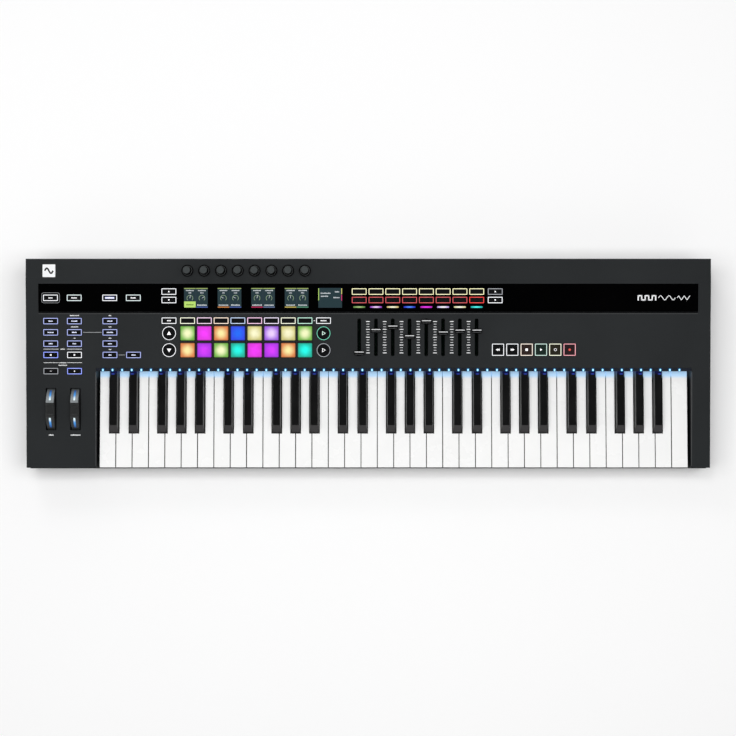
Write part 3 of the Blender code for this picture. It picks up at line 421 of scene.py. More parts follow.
PAD_GLOWS = {
    "lime": ((118, 184, 70), (252, 255, 200)),
    "magenta": ((222, 44, 220), (248, 48, 254)),
    "orange": ((222, 128, 68), (255, 240, 166)),
    "blue": ((34, 66, 232), (0, 104, 252)),
    "straw": ((208, 200, 124), (255, 251, 208)),
    "lilac": ((160, 96, 226), (236, 208, 255)),
    "violet": ((170, 40, 226), (216, 50, 254)),
    "teal": ((0, 178, 152), (0, 255, 238)),
}
LAMPS = {
    "green": ((92, 136, 62), (158, 190, 118)),
    "mauve": ((150, 50, 196), (244, 206, 255)),
    "straw": ((214, 190, 120), (255, 252, 220)),
    "blue": ((6, 26, 190), (70, 130, 255)),
    "magenta": ((190, 6, 190), (240, 40, 240)),
    "lilac": ((196, 170, 236), (255, 250, 255)),
    "pale": ((216, 214, 160), (255, 255, 236)),
    "cyan": ((6, 180, 176), (70, 246, 240)),
}


def build_glows(table, prefix, **settings):
    """A lit material for each row, from its colours at the edge and in the centre."""
    made = {}
    for name, (edge, centre) in table.items():
        made[name] = glow(prefix + name, lin(*edge), lin(*centre), **settings)
    return made


RIM = build_glows(GLOWS, "rim_", strength=1.4, reach=(0.2, 0.6), border=0.95)
PAD_LIT = build_glows(PAD_GLOWS, "pad_", reach=(0.06, 0.56), border=0.38)
LAMP = build_glows(LAMPS, "lamp_", reach=(0.02, 0.46), border=0.7)
ICON = glow("icon_white", lin(250, 250, 252), strength=1.5, border=1.0)
ICON_BLUE = glow("icon_blue", lin(224, 230, 254), strength=1.4, border=1.0)
ICON_RED = glow("icon_red", lin(236, 84, 72), strength=1.0, border=1.0)
LABEL_GLOW = glow("label_glow", lin(150, 160, 230), lin(226, 230, 255), reach=(0.0, 0.5), border=0.4)
KEY_LAMP = glow("key_lamp", lin(70, 190, 255), lin(214, 252, 255), strength=1.35, reach=(0.05, 0.5))


# Mesh helpers


def rounded(cx, cy, w, d, r, z, n=4):
    """A rounded rectangle of points, anticlockwise."""
    points = []
    for sx, sy, start in ((1, -1, -90), (1, 1, 0), (-1, 1, 90), (-1, -1, 180)):
        ox, oy = cx + sx * (w / 2 - r), cy + sy * (d / 2 - r)
        for k in range(n + 1):
            a = math.radians(start + 90 * k / n)
            points.append((ox + r * math.cos(a), oy + r * math.sin(a), z))
    return points


def circle(cx, cy, r, z, n=40):
    turns = [2 * math.pi * i / n for i in range(n)]
    return [(cx + r * math.cos(a), cy + r * math.sin(a), z) for a in turns]


RIM_SOFT = 0.00015
WORD_GAP, WORD_THICK = 0.22, 0.00005


class Piece:
    """One mesh in the coordinates of a plane, or of the frame, with a material for each part of it."""

    def __init__(self, place=None):
        self.place = place or Matrix.Identity(4)
        self.bm = bmesh.new()
        self.uv = self.bm.loops.layers.uv.new("UVMap")
        self.materials = []

    def skin(self, rings, material, frame=None, caps=True, wrap=False, smooth=False):
        """Rings of points joined in turn: closed by end faces, or wrapped back to the first ring."""
        if material not in self.materials:
            self.materials.append(material)
        index = self.materials.index(material)
        loops = [[self.bm.verts.new(p) for p in ring] for ring in rings]
        pairs = list(zip(loops, loops[1:])) + ([(loops[-1], loops[0])] if wrap else [])
        faces = []
        for low, high in pairs:
            for i in range(len(low)):
                j = (i + 1) % len(low)
                faces.append(self.bm.faces.new((low[i], low[j], high[j], high[i])))
        if caps and not wrap:
            faces.append(self.bm.faces.new(loops[0][::-1]))
            faces.append(self.bm.faces.new(loops[-1]))
        for face in faces:
            face.material_index = index
            face.smooth = smooth
            for loop in face.loops if frame else ():
                cx, cy, w, d = frame
                co = loop.vert.co
                loop[self.uv].uv = ((co.x - cx) / w + 0.5, (co.y - cy) / d + 0.5)

    def slab(self, cx, cy, w, d, r, z0, z1, material, soft=0.0002, n=4):
        """A rounded rectangle with a softened top edge."""
        soft = min(soft, (z1 - z0) / 2)
        steps = ((0, z0), (0, z1 - soft), (soft * 0.3, z1 - soft * 0.3), (soft, z1))
        rings = [rounded(cx, cy, w - 2 * i, d - 2 * i, max(r - i, 1e-5), z, n) for i, z in steps]
        self.skin(rings, material, (cx, cy, w, d))

    def rim(self, cx, cy, w, d, r, wall, z0, z1, material, n=4):
        """A rounded rectangular frame."""
        soft = RIM_SOFT
        inner = max(r - wall, 0.0002)
        rings = [
            rounded(cx, cy, w, d, r, z0, n),
            rounded(cx, cy, w, d, r, z1 - soft, n),
            rounded(cx, cy, w - 2 * soft, d - 2 * soft, r - soft, z1, n),
            rounded(cx, cy, w - 2 * wall + 2 * soft, d - 2 * wall + 2 * soft, inner + soft, z1, n),
            rounded(cx, cy, w - 2 * wall, d - 2 * wall, inner, z1 - soft, n),
            rounded(cx, cy, w - 2 * wall, d - 2 * wall, inner, z0, n),
        ]
        self.skin(rings, material, (cx, cy, w, d), wrap=True)

    def ring(self, cx, cy, r, wall, z0, z1, material, n=48):
        soft, inner = RIM_SOFT, r - wall
        steps = ((r, z0), (r, z1 - soft), (r - soft, z1), (inner + soft, z1), (inner, z1 - soft), (inner, z0))
        self.skin([circle(cx, cy, q, z, n) for q, z in steps], material, (cx, cy, 2 * r, 2 * r), wrap=True)

    def disc(self, cx, cy, r, z0, z1, material, soft=0.0002, n=40):
        steps = ((r, z0), (r, z1 - soft), (r - soft * 0.3, z1 - soft * 0.3), (r - soft, z1))
        self.skin([circle(cx, cy, q, z, n) for q, z in steps], material, (cx, cy, 2 * r, 2 * r))

    def patch(self, outline, z0, z1, material, frame=None):
        """A flat outline, anticlockwise, with a small thickness."""
        self.skin([[(x, y, z) for x, y in outline] for z in (z0, z1)], material, frame)

    def ribbon(self, path, width, z0, z1, material):
        """A flat line of constant width along a path of points."""
        left, right = [], []
        for i, (x, y) in enumerate(path):
            a, b = path[max(i - 1, 0)], path[min(i + 1, len(path) - 1)]
            length = math.hypot(b[0] - a[0], b[1] - a[1])
            nx, ny = (a[1] - b[1]) / length * width / 2, (b[0] - a[0]) / length * width / 2
            left.append((x + nx, y + ny))
            right.append((x - nx, y - ny))
        self.patch(right + left[::-1], z0, z1, material)

    def legend(self, cx, cy, length, height, z, material, seed):
        """Stands for a printed word: a row of small blocks of uneven width."""
        dice = random.Random(seed)
        widths, x = [], 0.0
        while x < length:
            w = height * dice.uniform(0.45, 0.95)
            widths.append((x, w))
            x += w + height * WORD_GAP
        shift = cx - (x - height * WORD_GAP) / 2
        for start, w in widths:
            tall = height * dice.choice((0.78, 0.78, 1.0))
            y0 = cy - height / 2
            x0, y1 = shift + start, y0 + tall
            box = [(x0, y0), (x0 + w, y0), (x0 + w, y1), (x0, y1)]
            self.patch(box, z, z + WORD_THICK, material, (cx, cy, length, height))

    def done(self, name, body, replaces=()):
        bmesh.ops.recalc_face_normals(self.bm, faces=self.bm.faces[:])
        mesh = bpy.data.meshes.new(name)
        self.bm.to_mesh(mesh)
        self.bm.free()
        for material in self.materials:
            mesh.materials.append(material)
        obj = bpy.data.objects.new(name, mesh)
        bpy.context.scene.collection.objects.link(obj)
        obj.matrix_world = self.place
        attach(obj, body)
        if replaces:
            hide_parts(*replaces)


def soften(obj, width, segments):
    step = obj.modifiers.new("softened_edges", "BEVEL")
    step.width, step.segments, step.limit_method = width, segments, "ANGLE"
    step.angle_limit = math.radians(35)
    step.harden_normals = True
    step.use_clamp_overlap = True


# CAD nodes that stay


def finish_node(name, material, bevel=0.0, segments=2):
    """Gives a CAD node its material, and softened edges by modifiers that leave its mesh as it is."""
    obj = frame["nodes"][name]
    obj.data.materials.clear()
    obj.data.materials.append(material)
    if bevel:
        weld = obj.modifiers.new("weld", "WELD")
        weld.merge_threshold = 1e-6
        flat = obj.modifiers.new("flat_faces", "DECIMATE")
        flat.decimate_type, flat.angle_limit = "DISSOLVE", math.radians(1.0)
        soften(obj, bevel, segments)


def finish_cad_nodes():
    white, black = white_key_material(), black_key_material()
    # Painted shade: the control and key contact boards are darkened nearly to black, for the shade they lie
    # in under the panel and keys.
    board, board_in_painted_shade = board_material(), board_material("circuit_board_painted_shade", 0.06)
    finishes = {
        "top_case": (CASE, 0.0007),
        "bottom_case": (CASE, 0.0008),
        "key_light_bar": (light_bar_material(), 0.0003),
        "display_lens": (lens_material(),),
        "keybed_chassis": (DARK_STEEL,),
        "key_guide_rail": (SOFT_BLACK,),
        "rear_socket_board": (DARK_STEEL, 0.0002),
        "wheel_cradle": (SOFT_BLACK,),
        "power_button": (SOFT_BLACK, 0.0004),
        "display_board": (board,),
        "encoder_board": (board,),
        "main_board": (board,),
        "control_board": (board_in_painted_shade,),
        "key_contact_board": (board_in_painted_shade,),
    }
    by_ending = {"black_keys": (black, 0.0009, 3), "_keys": (white, 0.0006, 3), "c_key": (white, 0.0006, 3)}
    by_ending.update({"_buttons": (SILICONE,), "pad_row": (SILICONE,)})
    for name in frame["nodes"]:
        if name.startswith("foot"):
            finishes[name] = (RUBBER, 0.0004)
        for ending, finish in by_ending.items():
            if name.endswith(ending):
                finishes.setdefault(name, finish)
        if name in finishes:
            finish_node(name, *finishes[name])


# Buttons and pads

RIM_LOW, RIM_HIGH = 0.0010, 0.00140
CAP_LOW, CAP_HIGH = 0.0010, 0.00155
ICON_Z = CAP_HIGH
RIM_WALL = 0.00092
ROUND_WALL = 0.00078
BORDER = 0.00015
ICON_THICK = 0.00006
WORD_HEIGHT = 0.0016


def key_cap(piece, x, v, size, lit, cap=None):
    """A button: its lit rim and the dark cap inside it."""
    piece.rim(x, v, size[0] - 2 * BORDER, size[1] - 2 * BORDER, 0.0008, RIM_WALL, RIM_LOW, RIM_HIGH, lit)
    inset = RIM_WALL + BORDER + 0.00012
    piece.slab(x, v, size[0] - 2 * inset, size[1] - 2 * inset, 0.0006, CAP_LOW, CAP_HIGH, cap or DARK_CAP)


def triangle(piece, x, v, size, turn, material, hollow=0.0):
    """A small arrowhead; turn 0 points to +X. Hollow is the part of its size that is left open."""
    points = [(size, 0), (-size * 0.62, size * 0.95), (-size * 0.62, -size * 0.95)]
    c, s = math.cos(math.radians(turn)), math.sin(math.radians(turn))

    def placed(k, z):
        return [(x + k * (px * c - py * s), v + k * (px * s + py * c), z) for px, py in points]

    low, high = ICON_Z, ICON_Z + ICON_THICK
    rings = [placed(1.0, low), placed(1.0, high)]
    if hollow:
        rings += [placed(1.0 - hollow, high), placed(1.0 - hollow, low)]
    piece.skin(rings, material, (x, v, 2 * size, 2 * size), wrap=bool(hollow))


def function_buttons():
    """Four columns of buttons, front rows last. A number is the length of a word in millimetres."""
    columns = (
        (("blue", 5.0), ("blue", 8.0), ("blue", 5.2), ("bright_blue", "left"), ("grey", "minus")),
        (("blue", 6.8), ("blue", 7.2), ("blue", 4.6), ("white", "right"), ("bright_blue", "plus")),
        (("blue", 6.0), ("blue", 8.4), ("blue", 5.6), ("blue", 3.8)),
        (None, None, None, ("blue", 5.4)),
    )
    piece = Piece(MAIN.matrix())
    grid = [(x, y, button) for x, column in zip(FUNCTION_X, columns) for y, button in zip(FUNCTION_Y, column)]
    for seed, (x, y, (lit, mark)) in enumerate(place for place in grid if place[2]):
        v = MAIN.along(y)
        key_cap(piece, x, v, BUTTON, RIM[lit])
        if mark in ("left", "right"):
            triangle(piece, x, v, 0.0016, 180 if mark == "left" else 0, ICON)
        elif mark in ("minus", "plus"):
            piece.slab(x, v, 0.0022, 0.0005, 0.0002, ICON_Z, ICON_Z + ICON_THICK, ICON)
            if mark == "plus":
                piece.slab(x, v, 0.0005, 0.0022, 0.0002, ICON_Z, ICON_Z + ICON_THICK + 0.00001, ICON)
        else:
            piece.legend(x, v, mark * MM, WORD_HEIGHT, ICON_Z, ICON_BLUE, seed)
    piece.done("function_button_tops", "function_buttons")


def pad_section_buttons():
    piece = Piece(MAIN.matrix())
    v = MAIN.along(PAD_BUTTON_Y)
    left, right = SIDE_COLUMNS
    for x, length, seed in ((left, 4.2, 41), (right, 8.0, 42)):
        key_cap(piece, x, v, BUTTON, RIM["white"])
        piece.legend(x, v, length * MM, WORD_HEIGHT, ICON_Z, ICON, seed)
    for x, lit in zip(PAD_COLUMNS, ("cream", "pink", "peach", "sky", "rose", "lilac", "cream", "rim_mint")):
        key_cap(piece, x, v, BUTTON, RIM[lit])
    rings = {(0, 0): "white", (0, 1): "white", (1, 0): "teal", (1, 1): "grey"}
    for (side, row), lit in rings.items():
        x, w = SIDE_COLUMNS[side], MAIN.along(PAD_ROWS[row])
        piece.ring(x, w, ROUND - BORDER, ROUND_WALL, RIM_LOW, RIM_HIGH, RIM[lit])
        piece.disc(x, w, ROUND - ROUND_WALL - BORDER - 0.0001, CAP_LOW, CAP_HIGH, DARK_CAP)
        if side == 0:
            triangle(piece, x, w + (0.0002 if row else -0.0002), 0.0031, 90 if row == 0 else -90, ICON)
        else:
            triangle(piece, x, w, 0.0032, 0, RIM["white"] if row else RIM["rim_mint"], hollow=0.36)
    piece.done("pad_section_button_tops", "pad_section_buttons")


def pads():
    """Crowned translucent pads with softened corners."""
    colours = (
        ("lime", "magenta", "orange", "blue", "straw", "lilac", "straw", "lime"),
        ("orange", "violet", "lime", "teal", "magenta", "violet", "orange", "teal"),
    )
    for body, y, row in zip(("upper_pad_row", "lower_pad_row"), PAD_ROWS, colours):
        piece = Piece(MAIN.matrix())
        v, w = MAIN.along(y), PAD - 0.0003
        steps = (
            (0.0, 0.0006),
            (0.0, 0.0011),
            (0.00012, 0.00150),
            (0.00045, 0.00178),
            (0.0009, 0.00188),
            (0.0030, 0.00198),
            (0.0060, 0.00206),
            (0.0088, 0.00210),
        )
        for x, colour in zip(PAD_COLUMNS, row):
            rings = []
            for i, z in steps:
                rings.append(rounded(x, v, w - 2 * i, w - 2 * i, max(0.0014 - i * 0.5, 0.0004), z, 5))
            piece.skin(rings, PAD_LIT[colour], (x, v, w, w), smooth=True)
        piece.done(body + "_tops", body)


def transport_buttons():
    piece = Piece(MAIN.matrix())
    v = MAIN.along(TRANSPORT_Y)
    tinted = {
        "stop": moulded("cap_stop", (0.022, 0.012, 0.010), 0.45),
        "play": moulded("cap_play", (0.006, 0.016, 0.012), 0.45),
        "cream": moulded("cap_loop", (0.016, 0.014, 0.008), 0.45),
        "record": moulded("cap_record", (0.019, 0.008, 0.010), 0.45),
    }
    marks = ("back", "forward", "stop", "play", "loop", "record")
    for x, mark, lit in zip(TRANSPORT_X, marks, ("white", "white", "stop", "play", "cream", "record")):
        key_cap(piece, x, v, (TRANSPORT, TRANSPORT), RIM[lit], tinted.get(lit))
        z0, z1 = ICON_Z, ICON_Z + ICON_THICK
        if mark in ("back", "forward"):
            turn, way = (180, -1) if mark == "back" else (0, 1)
            for shift in (-0.0011, 0.0013):
                triangle(piece, x + way * shift, v, 0.0018, turn, ICON)
        elif mark == "stop":
            piece.slab(x, v, 0.0034, 0.0034, 0.0003, z0, z1, ICON)
        elif mark == "play":
            triangle(piece, x, v, 0.0019, 0, ICON)
        elif mark == "loop":
            piece.ring(x, v, 0.0020, 0.0005, z0 - 0.0001, z1 + 0.0001, ICON, 24)
        else:
            piece.disc(x, v, 0.0017, z0 - 0.0001, z1, ICON_RED, 0.00003, 24)
    piece.done("transport_button_tops", "transport_buttons")


def band_buttons():
    piece = Piece(BAND.matrix())
    v = BAND.along(BAND_Y)
    plate_top = ICON_Z + 0.00004
    rims, lengths = ("white", "mint", "white", "mint"), (5.6, 6.8, 11.5, 7.4)
    for number, (x, lit, length) in enumerate(zip(FUNCTION_X, rims, lengths)):
        key_cap(piece, x, v, BUTTON, RIM[lit])
        if number == 2:
            piece.slab(x, v, 0.0140, 0.0030, 0.0012, ICON_Z, plate_top, LABEL_GLOW)
        piece.legend(x, v, length * MM, 0.0017, plate_top, ICON, 60 + number)
    for y, turn in zip(BAND_ROWS, (90, -90)):
        key_cap(piece, SIDE_COLUMNS[0], BAND.along(y), BUTTON, RIM["white"])
        triangle(piece, SIDE_COLUMNS[0], BAND.along(y), 0.0014, turn, ICON)
    piece.done("band_button_tops", "band_buttons")
    last = FADER_COLUMNS[-1] + COLUMN_PITCH + 0.0024
    for body, y, lit, side, turn in (
        ("upper_fader_buttons", BAND_ROWS[0], "yellow", "grey", 90),
        ("lower_fader_buttons", BAND_ROWS[1], "red", "white", -90),
    ):
        piece = Piece(BAND.matrix())
        for i, x in enumerate(FADER_COLUMNS):
            chosen = "deep_red" if (lit == "red" and i == 7) else lit
            key_cap(piece, x, BAND.along(y), BUTTON, RIM[chosen])
        key_cap(piece, last, BAND.along(y), BUTTON, RIM[side])
        triangle(piece, last, BAND.along(y), 0.0014, turn, ICON)
        piece.done(body + "_tops", body)


# Band: displays, lamps and marks


def arc_path(cx, cy, r, start, end, n=28):
    turns = [math.radians(start + (end - start) * i / n) for i in range(n + 1)]
    return [(cx + r * math.cos(a), cy + r * math.sin(a)) for a in turns]


def displays():
    glass = screen_material("slate", 52, 62, 72)
    panel = screen_material("panel", 42, 59, 64)
    olive = screen_material("olive", 150, 168, 96)
    pale = screen_material("text", 206, 212, 216)
    faint = screen_material("arc", 150, 172, 140)
    colours = {
        "lime": (184, 220, 112),
        "dark": (60, 84, 30),
        "blue": (76, 96, 160),
        "orange": (198, 126, 66),
        "crimson": (176, 40, 84),
        "slate": (96, 112, 148),
        "gold": (186, 168, 84),
        "teal": (84, 140, 112),
        "pink": (214, 60, 120),
        "yellow": (220, 214, 120),
    }
    inks = {name: screen_material(name, *colour) for name, colour in colours.items()}
    piece = Piece(BAND.matrix())
    v = BAND.along(BAND_Y)
    z = [0.00003 + 0.00003 * i for i in range(4)]
    feet = (("lime", "blue"), ("orange", "blue"), ("crimson", "slate"), ("gold", "teal"))
    turns = ((80, 30), (150, 150), (80, 80), (90, 80))
    wide, dial = 0.0164, 0.0042
    first = PAD_COLUMNS[0] + COLUMN_PITCH / 2

    def bar(x, y, w, d, r, level, material):
        piece.slab(x, y, w, d, r, z[level], z[level + 1], material)

    for i in range(4):
        cx = first + i * 2 * COLUMN_PITCH
        piece.slab(cx, v, 0.0338, 0.0282, 0.0003, 0.00001, z[0], glass)
        for side in (0, 1):
            x, seed = cx + (side - 0.5) * 0.0172, 10 * i + side
            bar(x, v, wide, 0.0278, 0.0002, 0, panel)
            bar(x, v + 0.0133, wide, 0.0013, 0.0002, 1, olive)
            piece.legend(x, v + 0.0105, 0.0108, 0.0017, z[1], pale, 100 + seed)
            piece.legend(x, v + 0.0071, 0.0038, 0.0014, z[1], pale, 120 + seed)
            piece.ribbon(arc_path(x, v - 0.0005, dial, 225, -45), 0.0006, z[1], z[2], faint)
            a = math.radians(turns[i][side])
            tip = (x + dial * math.cos(a), v - 0.0005 + dial * math.sin(a))
            piece.ribbon([(x, v - 0.0005), tip], 0.0006, z[2], z[3], pale)
            foot = feet[i][side]
            if foot == "lime":
                bar(x, v - 0.0095, wide, 0.0086, 0.0003, 1, inks["lime"])
                piece.legend(x, v - 0.0098, 0.0098, 0.0018, z[2], inks["dark"], 140)
            else:
                piece.legend(x, v - 0.0103, 0.0122, 0.0019, z[1], pale, 150 + seed)
                bar(x, v - 0.0133, wide, 0.0015, 0.0002, 1, inks[foot])
    cx = first + 8 * COLUMN_PITCH
    piece.slab(cx, v, 0.0338, 0.0282, 0.0003, 0.00001, z[0], glass)
    bar(cx, v, 0.0337, 0.0278, 0.0002, 0, panel)
    bar(cx - wide, v + 0.0050, 0.0010, 0.0172, 0.0002, 1, inks["lime"])
    bar(cx + wide, v + 0.0094, 0.0010, 0.0084, 0.0002, 1, inks["yellow"])
    bar(cx + wide, v + 0.0002, 0.0010, 0.0084, 0.0002, 1, inks["pink"])
    words = ((-0.0066, 0.0066, 14.0), (-0.0082, 0.0024, 10.4), (0.0098, 0.0086, 6.2), (0.0090, 0.0004, 9.0))
    for number, (x, y, length) in enumerate(words):
        piece.legend(cx + x, v + y, length * MM, 0.0018, z[1], pale, 201 + number)
    piece.done("display_images", "case")


def band_lamps():
    piece = Piece(BAND.matrix())
    v = BAND.along(0.0806)
    for x, name in zip(FADER_COLUMNS, LAMP):
        steps = ((0.0, 0.00001), (0.0, 0.0001), (0.0004, 0.00022))
        rings = [rounded(x, v, 0.0173 - 2 * i, 0.0023 - 2 * i, 0.0011 - i, z, 5) for i, z in steps]
        piece.skin(rings, LAMP[name], (x, v, 0.0173, 0.0173))
    piece.done("fader_lamps", "case")


def marks():
    """Generic marks: a badge with a wave, a row of wave shapes, and the outline round the first button."""
    piece = Piece(BAND.matrix())
    v, z0, z1 = BAND.along(BAND_Y), 0.00001, 0.00005
    piece.rim(FUNCTION_X[0], v, 0.0262, 0.0150, 0.0034, 0.0006, 0.00001, 0.00033, DIM_INK, 6)
    tall = 0.0030
    square, x = [], 0.3860
    for _ in range(3):
        square += [(x, v - tall), (x, v + tall), (x + 0.0050, v + tall), (x + 0.0050, v - tall)]
        x += 0.0100
    bold, fine = 0.0018, 0.0010
    for (x0, y0), (x1, y1) in zip(square, square[1:]):
        cx, cy = (x0 + x1) / 2, (y0 + y1) / 2
        piece.slab(cx, cy, abs(x1 - x0) + bold, abs(y1 - y0) + bold, 0.0002, z0, z1, INK)
    start = x - 0.0010
    sine = [(start + 0.0005 * i, v + tall * math.sin(2 * math.pi * i / 24)) for i in range(49)]
    piece.ribbon(sine, fine, z0, z1, INK)
    start = sine[-1][0] + 0.0028
    zigzag = [(start, v)]
    for i in range(5):
        zigzag.append((start + 0.0020 + 0.0040 * i, v + (tall if i % 2 == 0 else -tall)))
    for a, b in zip(zigzag, zigzag[1:]):
        piece.ribbon([a, b], fine, z0, z1, INK)
    piece.done("wave_marks", "case")

    piece = Piece(REAR.matrix())
    cx, v = -0.4566, REAR.along(0.1323)
    piece.slab(cx, v, 0.0182, 0.0182, 0.0010, 0.00001, 0.0001, INK, soft=0.00003)
    wave = [(cx - 0.0060 + 0.0004 * i, v + 0.0036 * math.sin(2 * math.pi * i / 30)) for i in range(31)]
    piece.ribbon(wave, 0.0022, 0.0001, 0.00014, SOFT_BLACK)
    piece.done("badge", "case")


# Print on the panel


def panel_print():
    piece = Piece(MAIN.matrix())
    z0, z1 = 0.00001, 0.00004
    a, b, c, d = FUNCTION_X
    half = BUTTON[0] / 2

    def line(x0, x1, y, thick=0.0006, ink=INK):
        piece.slab((x0 + x1) / 2, MAIN.along(y), x1 - x0, thick, thick * 0.3, z0, z1, ink, n=1)

    def word(x, y, length, seed, height=0.0015):
        piece.legend(x, MAIN.along(y), length * MM, height, z0, INK, seed)

    above = 0.0079
    for x, lengths in ((b, (13.0, 10.0, 1.6)), (c, (3.0, 3.0, 3.0, 3.0))):
        for row, length in enumerate(lengths):
            word(x, FUNCTION_Y[row] + above, length, 300 + row + int(length))
    line(b + half + 0.0015, c - half - 0.0015, FUNCTION_Y[1], 0.0009, DIM_INK)
    line(c + half + 0.0015, d - half - 0.0015, FUNCTION_Y[3], 0.0008, DIM_INK)
    line(a - half, a + 0.0110, 0.0206)
    line(b - 0.0110, b + half, 0.0206)
    word((a + b) / 2, 0.0206, 6.4, 320)
    line(a - half, a + 0.0110, 0.0012)
    line(b - 0.0110, b + half, 0.0012)
    word((a + b) / 2, 0.0012, 8.6, 321)
    word((a + b) / 2, -0.0024, 12.0, 322)
    line(PAD_COLUMNS[-1] + half + 0.0014, SIDE_COLUMNS[1] - half - 0.0014, PAD_BUTTON_Y, 0.0008)
    for x, length in ((WHEELS[0][1], 6.4), (WHEELS[1][1], 13.5)):
        word(x, -0.1020, length, 330 + int(length), 0.0020)
    for left in FADER_COLUMNS[:-1]:
        x = left + COLUMN_PITCH / 2 + 0.0005
        for i in range(13):
            major = i % 3 == 0
            wide, thick = (0.0056, 0.0011) if major else (0.0042, 0.0009)
            line(x - wide / 2, x + wide / 2, FADER_MIN_Y + 0.00373 * i, thick, INK if major else TICK_INK)
    piece.slab(0, MAIN.along(0.0725), 0.9435, 0.0015, 0.0006, z0, 0.00006, DEEP_BLACK)
    # Painted highlights: a pale line just in front of the band, and one down each side of the key opening.
    piece.slab(0, MAIN.along(0.0713), 0.9435, 0.0008, 0.0003, z0, 0.00006, EDGE_HIGHLIGHT)
    for x in (-0.39055, 0.46355):
        piece.slab(x, MAIN.along(-0.0790), 0.0009, 0.1340, 0.0003, z0, 0.00006, EDGE_HIGHLIGHT)
    # Painted shade: deep black linings down the walls of the wheel slots, so the gaps round the wheels read
    # as dark as their shadow.
    for _, x in WHEELS:
        piece.rim(x, MAIN.along(WHEEL_Y), 0.0154, 0.0606, 0.0014, 0.0007, -0.0050, 0.00006, DEEP_BLACK)
    piece.done("panel_print", "case")


def key_lamps():
    """Sixty-one small lenses in the panel's edge, one above each key."""
    piece = Piece(MAIN.matrix())
    v = MAIN.along(-0.0092)
    for i in range(LAMPS_IN_ALL):
        x = LAMP_LEFT + LAMP_PITCH * i
        steps = ((0.0, -0.0001), (0.0, 0.00008), (0.0004, 0.00024), (0.0009, 0.00030))
        rings = [rounded(x, v, 0.0027 - 2 * s, 0.0036 - 2 * s, 0.00132 - s, z, 5) for s, z in steps]
        piece.skin(rings, KEY_LAMP, (x, v, 0.0032, 0.0040), smooth=True)
    piece.done("key_lamps", "case")


# Knobs, faders and wheels


def knobs():
    """Turned caps with fine flutes, standing in a flat skirt with a deep black wall."""
    top = (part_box("knob_1")[1].z - REAR.z(KNOB_Y)) * math.cos(REAR_SLOPE) - 0.00025
    count, flutes = 120, 30
    whole, skirt_faces = (0, 0, 0.0172, 0.0172), 72
    profile = (
        (0.0027, -0.0090, 0),
        (0.0027, 0.0010, 0),
        (0.0064, 0.0010, 0),
        (0.0064, 0.0030, 0.3),
        (0.0063, 0.0040, 1),
        (0.0057, top - 0.0022, 1),
        (0.0055, top - 0.0011, 0.6),
        (0.0054, top - 0.0004, 0),
        (0.0052, top - 0.0003, 0),
        (0.0051, top - 0.0012, 0),
    )
    wall = ((0.0066, 0.0007), (0.0085, 0.0009), (0.0086, 0.0014))
    wall += ((0.0085, 0.0019), (0.0071, 0.0023), (0.0068, 0.0018))
    skirt = ((0.0070, 0.0012), (0.0070, 0.0018), (0.0067, 0.0021), (0.0056, 0.0021))
    crown = ((0.0050, top - 0.0014), (0.0052, top - 0.0003), (0.0050, top))
    crown += ((0.0038, top - 0.0002), (0.0010, top - 0.0005))

    def turned(piece, steps, n, material, uv, **how):
        piece.skin([circle(0, 0, r, z, n) for r, z in steps], material, uv, smooth=True, **how)

    for i, x in enumerate(PAD_COLUMNS):
        place = REAR.matrix() @ Matrix.Translation((x, REAR.along(KNOB_Y), 0))
        piece = Piece(place)
        rings = []
        for r, z, depth in profile:
            ring = []
            for k in range(count):
                a = 2 * math.pi * k / count
                q = r - depth * 0.00016 * (1 + math.cos(flutes * a))
                ring.append((q * math.cos(a), q * math.sin(a), z))
            rings.append(ring)
        piece.skin(rings, DEEP_BLACK, whole, smooth=True)
        turned(piece, wall, skirt_faces, DEEP_BLACK, whole, caps=False)
        turned(piece, skirt, skirt_faces, SKIRT, whole)
        turned(piece, crown, 60, CAP_TOP, (0, 0, 0.0102, 0.0102))
        name = f"knob_{i + 1}"
        piece.done(name + "_cap", name, (name,))


def fader_slots():
    """Black edging round each slot, and the two dust lips under it with a slit for the lever."""
    piece = Piece(MAIN.matrix())
    v, length = MAIN.along(FADER_MIN_Y + FADER_TRAVEL / 2), 0.0530
    for x in FADER_COLUMNS:
        piece.rim(x, v, 0.0054, length + 0.0008, 0.0026, 0.00045, 0.00001, 0.00012, DEEP_BLACK, 6)
        for side in (-1, 1):
            piece.slab(x + side * 0.0022, v, 0.0020, length + 0.0020, 0.0002, -0.0040, -0.0034, DEEP_BLACK)
    piece.done("fader_slot_edging", "case")


